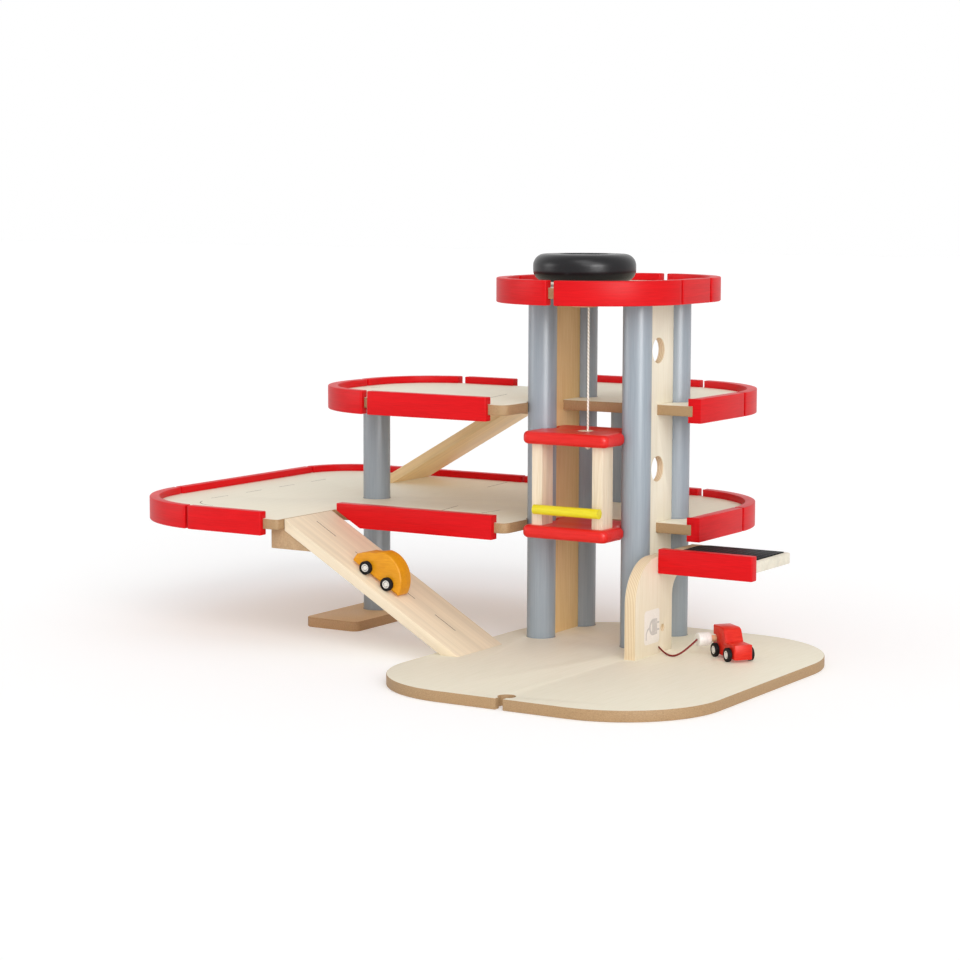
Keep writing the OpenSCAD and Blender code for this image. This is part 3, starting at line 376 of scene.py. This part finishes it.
# Moulded rubber: dull black with a fine tooth
RUBBER = wood(
    "black_rubber", [(0.3, "#0F0E10"), (0.6, "#161517"), (0.8, "#1E1D1F")], (0.6, 0.6, 0.6), 0.6,
    depth_mm=0.03, specular=0.15,
)

# White lacquer on small turned pieces: clean, just off white
HUB_WHITE = wood(
    "white_lacquer", [(0.3, "#DAD7D2"), (0.6, "#E8E5E0"), (0.8, "#F0EEEA")], (1.0, 1.0, 3), 0.4,
    cloud=0.03, depth_mm=0.02,
)

# Painted shade in the turned groove of a hub: a thin near-black ring on the white, where the sunk ring would
# fall dark
GROOVE_PAINTED_SHADE = wood(
    "painted_groove_shade", [(0.3, "#2E2B2A"), (0.6, "#383433"), (0.8, "#433F3D")], (1.0, 1.0, 3), 0.6,
    cloud=0.03, depth_mm=0.02,
)

# Screen-printed inks, thin and dull: brown road lines, a grey sign and its white ground
PRINT_BROWN = wood(
    "brown_print", [(0.3, "#6E5E4B"), (0.6, "#7C6C58"), (0.8, "#8A7A66")], (0.8, 3, 0.8), 0.7,
    cloud=0.05, depth_mm=0.01,
)
PRINT_GREY = wood(
    "grey_print", [(0.3, "#C0BAB5"), (0.6, "#C8C3BE"), (0.8, "#CFCAC5")], (1.0, 1.0, 1.0), 0.6,
    cloud=0.03, depth_mm=0.01,
)
PRINT_WHITE = wood(
    "white_print", [(0.3, "#E6DFD6"), (0.6, "#ECE6DE"), (0.8, "#F1ECE6")], (1.0, 1.0, 1.0), 0.6,
    cloud=0.03, depth_mm=0.01,
)


def twisted(name, stops, strand_mm, roughness):
    """Spun thread: slanting strands, each and each gap between them this wide along the cord."""
    material, tree, shader = start_material(name, roughness, specular=0.25)
    place = add(tree, "ShaderNodeTexCoord")
    waves = add(
        tree, "ShaderNodeTexWave", {"Vector": place.outputs["Object"]},
        {"Scale": 1 / (math.pi * strand_mm * MM), "Distortion": 0.6, "Detail": 2.0},
        bands_direction="DIAGONAL",
    )
    tree.links.new(shades(tree, waves.outputs["Fac"], stops), shader.inputs["Base Color"])
    bump(tree, shader, waves.outputs["Fac"], strength=0.5, depth_mm=0.12)
    return material


# Spun and bleached cotton cord: dull off-white with slanting strands
COTTON = twisted(
    "cotton_cord", [(0.1, "#DCD3C2"), (0.6, "#F0EADC"), (0.9, "#F7F3EA")], strand_mm=1.6, roughness=0.8,
)

# Thin covered elastic: wine red, with finer and smoother strands
ELASTIC = twisted(
    "wine_elastic", [(0.1, "#540A0C"), (0.6, "#7C1416"), (0.9, "#93201F")], strand_mm=1.0, roughness=0.55,
)


# Printed sheet of solar cells: black squares between thin grey lines, under a dull film
CELL_MM = 6.5
CELL_LINE_MM = 0.25


def solar_sheet():
    """The printed cells, squared up in the sheet's plane."""
    material, tree, shader = start_material("solar_print", 0.5, specular=0.02)
    place = add(tree, "ShaderNodeTexCoord")
    cells = add(
        tree, "ShaderNodeTexBrick", {"Vector": place.outputs["Object"]},
        {"Color1": colour("#0E0E10"), "Color2": colour("#151517"), "Mortar": colour("#5C5C60"),
         "Scale": 1.0, "Mortar Size": CELL_LINE_MM * MM, "Mortar Smooth": 0.1,
         "Brick Width": CELL_MM * MM, "Row Height": CELL_MM * MM},
        offset=0.0,
    )
    tree.links.new(cells.outputs["Color"], shader.inputs["Base Color"])
    bump(tree, shader, cells.outputs["Fac"], strength=0.2, depth_mm=0.05)
    return material


SOLAR = solar_sheet()


# Making pieces
DOUBLES_MM = 0.002
FLAT_DEGREES = 0.4
FACING = 0.9
SQUARE_ON = 0.99
SIDEWAYS = 0.5
ROUND_DEGREES = 60
SOFTENED_MM = 0.4


def only(piece):
    """Makes this the one selected and active object."""
    for other in bpy.context.selected_objects:
        other.select_set(False)
    bpy.context.view_layer.objects.active = piece
    piece.select_set(True)


def settle(piece):
    """Puts the piece's place into its mesh, so that the object stands at the origin."""
    only(piece)
    bpy.ops.object.transform_apply(location=True, rotation=True, scale=True)


def shade_round(piece, degrees=ROUND_DEGREES):
    """Smooth shading, with creases kept at edges sharper than this."""
    only(piece)
    bpy.ops.object.shade_smooth_by_angle(angle=math.radians(degrees))


def dress(piece, material, body, replaces=()):
    """Gives the piece its finish and the body it moves with."""
    piece.data.materials.clear()
    piece.data.materials.append(material)
    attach(piece, body)
    if replaces:
        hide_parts(*replaces)
    return piece


def dress_as(node, piece, material):
    """Puts the piece in the place of a CAD node, on the node's own body, and hides the node."""
    return dress(piece, material, NODE[node]["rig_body"], [node])


def round_edges(piece, edge_mm, segments=3, angle=30):
    """Sands the sharp edges round."""
    only(piece)
    edge = piece.modifiers.new("edges", "BEVEL")
    edge.width = edge_mm * MM
    edge.segments = segments
    edge.limit_method = "ANGLE"
    edge.angle_limit = math.radians(angle)
    edge.use_clamp_overlap = True
    bpy.ops.object.modifier_apply(modifier=edge.name)
    shade_round(piece, angle)


def pick(piece, kind, wanted):
    """Enters edit mode with just those edges or faces selected that are wanted."""
    only(piece)
    bpy.ops.object.mode_set(mode="EDIT")
    bpy.ops.mesh.select_mode(type=kind)
    bpy.ops.mesh.select_all(action="DESELECT")
    bpy.ops.object.mode_set(mode="OBJECT")
    for item in piece.data.edges if kind == "EDGE" else piece.data.polygons:
        item.select = wanted(item)
    bpy.ops.object.mode_set(mode="EDIT")


def run_of(piece, edge):
    """The vector from one end of an edge to the other."""
    return piece.data.vertices[edge.vertices[0]].co - piece.data.vertices[edge.vertices[1]].co


def pick_edges_along(piece, axis):
    """Enters edit mode with the edges that run along x, y or z selected."""
    pick(piece, "EDGE", lambda edge: abs(run_of(piece, edge)[axis]) > FACING * run_of(piece, edge).length)


def merged(node):
    """A copy of the node's shape whose loose triangles are joined into whole faces."""
    piece = bpy.data.objects.new(node + "_finished", NODE[node].data.copy())
    bpy.context.scene.collection.objects.link(piece)
    only(piece)
    bpy.ops.object.mode_set(mode="EDIT")
    bpy.ops.mesh.select_all(action="SELECT")
    bpy.ops.mesh.customdata_custom_splitnormals_clear()
    bpy.ops.mesh.remove_doubles(threshold=DOUBLES_MM * MM)
    bpy.ops.mesh.dissolve_limited(angle_limit=math.radians(FLAT_DEGREES))
    bpy.ops.object.mode_set(mode="OBJECT")
    return piece


def rings_of(edges):
    """Sorts edges into rings that hang together."""
    rings = []
    while edges:
        ring, front = [], {edges[0].vertices[0]}
        while front:
            near = [e for e in edges if front & set(e.vertices)]
            edges = [e for e in edges if not front & set(e.vertices)]
            front = {v for e in near for v in e.vertices}
            ring += near
        rings.append(ring)
    return rings


def outline_rings(piece, axis):
    """Indices of the edges round both end faces along an axis, without the rings of their holes."""
    mesh = piece.data
    sides = {}
    for face in mesh.polygons:
        for key in face.edge_keys:
            sides.setdefault(key, []).append(abs(face.normal.dot(axis)))
    reach = [v.co.dot(axis) for v in mesh.vertices]
    half_way = (min(reach) + max(reach)) / 2
    rim = [e for e in mesh.edges if max(sides[e.key]) > SQUARE_ON and min(sides[e.key]) < SIDEWAYS]
    chosen = set()
    for above in (True, False):
        end = [e for e in rim if (reach[e.vertices[0]] > half_way) == above]
        longest = max(rings_of(end), key=lambda ring: sum(run_of(piece, e).length for e in ring))
        chosen |= {e.index for e in longest}
    return chosen


def nosed(node, material, axis, nose_mm, segments=5):
    """The node's shape with the outline of both end faces routed round, and its other edges sanded."""
    piece = merged(node)
    outline = outline_rings(piece, axis)
    pick(piece, "EDGE", lambda edge: edge.index in outline)
    bpy.ops.mesh.bevel(offset=nose_mm * MM, segments=segments, clamp_overlap=False, loop_slide=False)
    bpy.ops.object.mode_set(mode="OBJECT")
    round_edges(piece, SOFTENED_MM, segments=2)
    return dress_as(node, piece, material)


# A wheel's hub: a plain rim, then a sunk ring, then a middle that stands as high as the rim
HUB_RIM_MM = 0.8
HUB_RING_MM = 0.7
HUB_SINK_MM = 0.5
LEVEL_MM = 0.05


def capped(node, axis):
    """An axle whose two end caps are white hubs with a sunk ring, its floor painted dark as shade."""
    piece = merged(node)
    reach = [v.co.dot(axis) for v in piece.data.vertices]
    half = (max(reach) - min(reach)) / 2
    centre = min(reach) + half

    def lies_at(face, level):
        away = abs(face.center.dot(axis) - centre)
        return abs(face.normal.dot(axis)) > FACING and abs(away - level) < LEVEL_MM * MM

    pick(piece, "FACE", lambda face: lies_at(face, half))
    bpy.ops.mesh.inset(thickness=HUB_RIM_MM * MM)
    bpy.ops.mesh.extrude_region_shrink_fatten(TRANSFORM_OT_shrink_fatten={"value": -HUB_SINK_MM * MM})
    bpy.ops.mesh.inset(thickness=HUB_RING_MM * MM)
    bpy.ops.mesh.extrude_region_shrink_fatten(TRANSFORM_OT_shrink_fatten={"value": HUB_SINK_MM * MM})
    bpy.ops.object.mode_set(mode="OBJECT")
    dress_as(node, piece, HUB_WHITE)
    # The floor of the sunk ring takes the painted groove shade
    piece.data.materials.append(GROOVE_PAINTED_SHADE)
    for face in piece.data.polygons:
        face.material_index = int(lies_at(face, half - HUB_SINK_MM * MM))


def sanded(node, material, edge_mm, segments=3, angle=30):
    """The node's own shape with its edges sanded round."""
    piece = merged(node)
    round_edges(piece, edge_mm, segments, angle)
    return dress_as(node, piece, material)


def smooth(node, material):
    """The node's own shape, already round, with only its shading smoothed."""
    piece = merged(node)
    shade_round(piece, degrees=40)
    return dress_as(node, piece, material)


def round_bars(name, paths, width_mm, round_steps=2):
    """Round bars along paths of places, all in one piece."""
    bpy.ops.object.select_all(action="DESELECT")
    bpy.ops.curve.primitive_bezier_curve_add()
    piece = bpy.context.active_object
    piece.name = name
    line = piece.data
    line.splines.clear()
    line.dimensions = "3D"
    line.bevel_depth = width_mm / 2 * MM
    line.bevel_resolution = round_steps
    line.use_fill_caps = True
    for path in paths:
        spline = line.splines.new("POLY")
        spline.points.add(len(path) - 1)
        for point, place in zip(spline.points, path):
            point.co = (*place, 1)
    bpy.ops.object.convert(target="MESH")
    return piece


# A printed line is as thick as this share of its width
INK_SHARE = 0.12


def printed(name, paths_mm, width_mm, material, plane):
    """Printed lines on a flat face: paths in millimetres on the plane, flattened to a film of ink."""
    paths = [[(x * MM, y * MM, 0) for x, y in path] for path in paths_mm]
    piece = round_bars(name, paths, width_mm)
    piece.matrix_world = plane @ Matrix.Diagonal((1, 1, INK_SHARE, 1))
    settle(piece)
    shade_round(piece)
    return dress(piece, material, "structure")


def arc(centre, radius, start, end, steps=8):
    """Points on part of a circle, between two angles in degrees."""
    turns = [math.radians(start + (end - start) * i / steps) for i in range(steps + 1)]
    return [(centre[0] + radius * math.cos(t), centre[1] + radius * math.sin(t)) for t in turns]


def bezier(a, b, c, d, t):
    """A place on the curve from a to d that b and c pull at."""
    ab, bc, cd = a.lerp(b, t), b.lerp(c, t), c.lerp(d, t)
    return ab.lerp(bc, t).lerp(bc.lerp(cd, t), t)


# Boards, posts and rims
for node in ("base_board", "deck_1", "deck_2", "roof_board"):
    sanded(node, VENEERED, edge_mm=0.8)
# The foot board's lighter top is painted light under the deck's shade
sanded("foot_board", FIBREBOARD_PAINTED_LIGHT_TOP, edge_mm=0.8)
for node in NODE:
    if node.startswith("pillar_"):
        sanded(node, GREY, edge_mm=0.5)
# The left wall's tan is painted shade and the right wall's ivory is painted light, on one plywood
sanded("panel_left", BIRCH_PAINTED_SHADE, edge_mm=0.3)
sanded("panel_right", BIRCH_PAINTED_LIGHT, edge_mm=0.3)
sanded("ramp_lower", BEECH, edge_mm=0.7)
# The upper ramp's brighter, more golden tone is painted light
sanded("ramp_upper", BEECH_UP_PAINTED_LIGHT, edge_mm=0.7)
sanded("ramp_blocks", BLOCK, edge_mm=0.6)
for node in NODE:
    if "_rim" in node:
        sanded(node, RED, edge_mm=0.9)

# Lift and its winding gear
for node in ("lift_floor", "lift_top"):
    nosed(node, RED_GLOSS, UP, nose_mm=4.2, segments=6)
sanded("lift_posts", MAPLE, edge_mm=0.8)
sanded("lift_disc", MAPLE, edge_mm=0.3)
sanded("lift_barrier", YELLOW, edge_mm=2.4, segments=5)
sanded("barrier_pin", MAPLE, edge_mm=0.2)
sanded("knob_tyre", BLACK, edge_mm=1.2, angle=40)
sanded("knob_cap", MAPLE, edge_mm=0.8)
sanded("spindle", HUB_WHITE, edge_mm=0.3)
sanded("cord_drum", TURNED, edge_mm=0.2)
sanded("spindle_boss", TURNED, edge_mm=0.6)
for node in ("cord_lead", "cord_tail"):
    smooth(node, COTTON)

# Turns on the drum: one helix where the part has rings
CORD_MM = 1.8
TURNS = 3
TURN_STEPS = 32
low, high = (Vector(corner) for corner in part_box("cord_turns"))
foot = Vector(((low.x + high.x) / 2, (low.y + high.y) / 2, low.z + CORD_MM / 2 * MM))
wound_radius = (high.x - low.x) / 2 - CORD_MM / 2 * MM
rise = (high.z - low.z - CORD_MM * MM) / TURNS
helix = []
for i in range(TURNS * TURN_STEPS + 1):
    angle = 2 * math.pi * i / TURN_STEPS
    out = Vector((wound_radius * math.cos(angle), wound_radius * math.sin(angle), 0))
    helix.append(foot + out + UP * rise * i / TURN_STEPS)
wound = round_bars("wound_turns", [helix], CORD_MM, round_steps=3)
shade_round(wound)
dress_as("cord_turns", wound, COTTON)

# Free run of the lift's cord: it shortens as the lift climbs, between the boss and the lift's top
CORD_SIDES = 16
CORD_RINGS = 60
low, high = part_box("lift_cord")
span = middle("lift_cord")
bpy.ops.object.select_all(action="DESELECT")
bpy.ops.mesh.primitive_cylinder_add(
    vertices=CORD_SIDES, radius=CORD_MM / 2 * MM, depth=high[2] - low[2], location=span
)
lift_cord = bpy.context.active_object
lift_cord.name = "lift_cord_span"
settle(lift_cord)
pick_edges_along(lift_cord, 2)
bpy.ops.mesh.subdivide(number_cuts=CORD_RINGS)
bpy.ops.object.mode_set(mode="OBJECT")
shade_round(lift_cord)
lift_cord.data.materials.clear()
lift_cord.data.materials.append(COTTON)
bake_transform(lift_cord)
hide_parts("lift_cord")

# Charging bay
sanded("charger_board", BIRCH, edge_mm=1.2, segments=4)
sanded("canopy_board", BIRCH_ACROSS, edge_mm=0.7)
sanded("canopy_fascia", RED, edge_mm=0.9)
sanded("solar_panel", SOLAR, edge_mm=0.2, segments=2)
plug = sanded("ev_plug", HUB_WHITE, edge_mm=1.0)
pin = sanded("ev_plug_pin", TURNED, edge_mm=0.5)

# Where the red car stands and its socket is, in millimetres
CAR_AT = (189.3, -5.0)
CAR_TURN = math.radians(-38.6)
CAR_HALF_WIDTH = 8.3
PORT_BACK = 17
PORT_UP = 14.8
PLUG_LENGTH = 11.5
PIN_OUT = 5
ahead = Vector((math.cos(CAR_TURN), math.sin(CAR_TURN), 0))
aside = Vector((ahead.y, -ahead.x, 0))
port = at(*CAR_AT, BASE_TOP + PORT_UP * MM) - ahead * PORT_BACK * MM + aside * CAR_HALF_WIDTH * MM

# Charging cord: one curve, from the board's outer face down to the road and up to the plug's end.
# The pulls shape its sag, in millimetres from either end
EV_CORD_MM = 1.6
EV_STEPS = 36
EXIT_AT = (125, -15.3)
EXIT_UP = 14
OUT_PULL = (19.1, -13.5, -8.1)
IN_PULL = (-9.3, -17.0, -14.0)
cord_exit = at(*EXIT_AT, EXIT_UP * MM)
plug_end = port + aside * (PIN_OUT + PLUG_LENGTH) * MM
pulls = [cord_exit + Vector(OUT_PULL) * MM, plug_end + Vector(IN_PULL) * MM]
route = [bezier(cord_exit, *pulls, plug_end, i / EV_STEPS) for i in range(EV_STEPS + 1)]
ev_cord = round_bars("charging_cord", [route], EV_CORD_MM, round_steps=4)
shade_round(ev_cord)
dress(ev_cord, ELASTIC, "structure", ["ev_cord"])

# Cars: each wheel's axle runs across its car
ACROSS = {"yellow": Vector((0, 1, 0)), "red": aside}
nosed("yellow_car_body", AMBER, ACROSS["yellow"], nose_mm=1.5, segments=4)
nosed("red_car_body", CAR_RED, ACROSS["red"], nose_mm=1.2, segments=4)
for node in NODE:
    if node.endswith("_tyres"):
        smooth(node, RUBBER)
    if node.endswith("_axle"):
        capped(node, ACROSS[node.split("_")[0]])

# Lane lines printed on the decks, in millimetres from the tower's front left post
DASH_MM = 0.9
LANE_X = -331
LANE_START = -43
LANE_STEP = 53
LANE_DASH = 25
LANE_DASHES = 4
BEND_AT = (-297, -56)
BEND_RADIUS = 29
BEND_DEGREES = (198, 270)
LOWER_MARKS = [[(-162, 172), (-167, 217)], [(-103, -4), (-109, 35)], [(-64, 3.5), (-61, 30)]]
UPPER_MARKS = [[(-213, 47), (-208, 56)], [(-61, 9), (-69, 54.5)]]


def on_deck(node):
    """The plane of a deck's top."""
    return Matrix.Translation(at(0, 0, top_of(node)))


starts = [LANE_START + i * LANE_STEP for i in range(LANE_DASHES)]
lane = [[(LANE_X, start), (LANE_X, start + LANE_DASH)] for start in starts]
bend = arc(BEND_AT, BEND_RADIUS, *BEND_DEGREES)
printed("deck_1_lines", lane + [bend] + LOWER_MARKS, DASH_MM, PRINT_BROWN, on_deck("deck_1"))
printed("deck_2_lines", UPPER_MARKS, DASH_MM, PRINT_BROWN, on_deck("deck_2"))

# Broken middle line down the lower ramp: dashes and gaps of one length, after a short start
RAMP_FIRST = 10.5
RAMP_DASH = 24
RAMP_DASHES = 4
ramp_top = Vector((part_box("ramp_lower")[0][0], middle("ramp_lower").y, top_of("deck_1")))
slope = Matrix.Translation(ramp_top) @ Matrix.Rotation(RAMP_TILT, 4, "Y")
starts = [RAMP_FIRST + 2 * i * RAMP_DASH for i in range(RAMP_DASHES)]
ramp_lines = [[(start, 0), (start + RAMP_DASH, 0)] for start in starts]
printed("ramp_lines", ramp_lines, DASH_MM, PRINT_BROWN, slope)

# Printed charging sign on the charger board: a pale panel with a plain grey plug
SIGN_MM = (27, 29)
SIGN_AT = (-28.2, 33.4)
SIGN_CORNER_MM = 3.5
FILM_MM = 0.12
board_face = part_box("charger_board")[1][0]
bpy.ops.object.select_all(action="DESELECT")
bpy.ops.mesh.primitive_cube_add(size=1)
sign = bpy.context.active_object
sign.name = "charging_sign"
sign.scale = (FILM_MM * MM, SIGN_MM[0] * MM, SIGN_MM[1] * MM)
sign.location = (board_face, TOWER.y + SIGN_AT[0] * MM, SIGN_AT[1] * MM)
settle(sign)
pick_edges_along(sign, 0)
bpy.ops.mesh.bevel(offset=SIGN_CORNER_MM * MM, segments=6)
bpy.ops.object.mode_set(mode="OBJECT")
dress(sign, PRINT_WHITE, "structure")

# The sign's plug, in millimetres along the board and up it: a round-backed body, two prongs, a lead
PLUG_Y = -26
PLUG_Z = 32.8
PLUG_RADIUS = 5.8
PLUG_FRONT = -19.6
OUTLINE_MM = 2.6
FILL_MM = 9.4
FILL_ENDS = (-28, -21.5)
PRONG_ENDS = (-19, -15.2)
PRONG_APART = 3
PRONG_MM = 1.7
LEAD = [(-32.5, 32.8), (-36, 31.4), (-38.2, 28.2), (-38.2, 23)]
sign_face = board_face + FILM_MM / 2 * MM
face = Matrix(((0, 0, 1, sign_face), (1, 0, 0, TOWER.y), (0, 1, 0, 0), (0, 0, 0, 1)))
plug_front = [
    (PLUG_FRONT, PLUG_Z - PLUG_RADIUS), (PLUG_FRONT, PLUG_Z + PLUG_RADIUS), (PLUG_Y, PLUG_Z + PLUG_RADIUS),
]
plug_body = arc((PLUG_Y, PLUG_Z), PLUG_RADIUS, 90, 270) + plug_front
plug_fill = [(y, PLUG_Z) for y in FILL_ENDS]
prongs = [[(y, PLUG_Z + side * PRONG_APART) for y in PRONG_ENDS] for side in (1, -1)]
printed("sign_plug_outline", [plug_body], OUTLINE_MM, PRINT_GREY, face)
printed("sign_plug_fill", [plug_fill], FILL_MM, PRINT_GREY, face)
printed("sign_plug_prongs", prongs + [LEAD], PRONG_MM, PRINT_GREY, face)


# Floor: plain white, lifted a touch for the camera only, so it meets the white room without a line
FLOOR_HALF = 12.0
FLOOR_DROP = 0.0002
FLOOR_SEEN = 0.1
bpy.ops.mesh.primitive_plane_add(size=2 * FLOOR_HALF, location=(0, 0, -FLOOR_DROP))
floor = bpy.context.active_object
floor.name = "floor"
floor_material, floor_tree, floor_shader = start_material("white_floor", 0.9, specular=0.1)
floor_shader.inputs["Base Color"].default_value = colour("#FBFBFB")
floor_shader.inputs["Emission Color"].default_value = colour("#FFFFFF")
floor_rays = add(floor_tree, "ShaderNodeLightPath")
floor_glow = add(
    floor_tree, "ShaderNodeMath", {0: floor_rays.outputs["Is Camera Ray"]}, {1: FLOOR_SEEN},
    operation="MULTIPLY",
)
floor_tree.links.new(floor_glow.outputs["Value"], floor_shader.inputs["Emission Strength"])
floor.data.materials.append(floor_material)

# Room: even white light, weaker for matt surfaces than the white that the camera and sheens see
WORLD_LIGHT = 0.61
WORLD_SEEN = 1.0
world = bpy.data.worlds.new("studio")
bpy.context.scene.world = world
world.use_nodes = True
sky = world.node_tree
rays = add(sky, "ShaderNodeLightPath").outputs
seen = add(
    sky, "ShaderNodeMath", {0: rays["Is Camera Ray"], 1: rays["Is Glossy Ray"]}, operation="MAXIMUM",
)
through = add(
    sky, "ShaderNodeMath", {0: seen.outputs["Value"], 1: rays["Is Transmission Ray"]},
    operation="MAXIMUM",
)
strength = add(
    sky, "ShaderNodeMapRange", {"Value": through.outputs["Value"]},
    {"To Min": WORLD_LIGHT, "To Max": WORLD_SEEN},
)
sky.nodes["Background"].inputs["Color"].default_value = colour("#FFFFFF")
sky.links.new(strength.outputs["Result"], sky.nodes["Background"].inputs["Strength"])


def soft_sun(name, away, strength, spread, shadow=True, sheen_only=False):
    """A wide sun that shines towards this direction, spread over an angle in degrees."""
    data = bpy.data.lights.new(name, "SUN")
    data.energy = strength
    data.angle = math.radians(spread)
    data.use_shadow = shadow
    lamp = bpy.data.objects.new(name, data)
    bpy.context.scene.collection.objects.link(lamp)
    lamp.rotation_mode = "QUATERNION"
    lamp.rotation_quaternion = Vector(away).to_track_quat("-Z", "Y")
    lamp.visible_diffuse = not sheen_only


# Main light, low from the front right
soft_sun("front_right", (-0.66, 0.64, -0.42), 1.35, spread=45)

# Two fills without shadow, which lift the storeys and the undersides that the main light misses
soft_sun("fill_above", (-0.25, 0.55, -0.8), 0.65, spread=30, shadow=False)
soft_sun("fill_below", (-0.5, 0.6, 0.62), 0.4, spread=30, shadow=False)

# Two softboxes that show only as the sheen on lacquered rims, posts and the knob
soft_sun("right_softbox", (-0.857, 0.515, -0.12), 2.0, spread=28, sheen_only=True)
soft_sun("left_softbox", (0.84, 0.54, -0.12), 0.6, spread=26, sheen_only=True)

bpy.context.scene.view_settings.view_transform = "Standard"
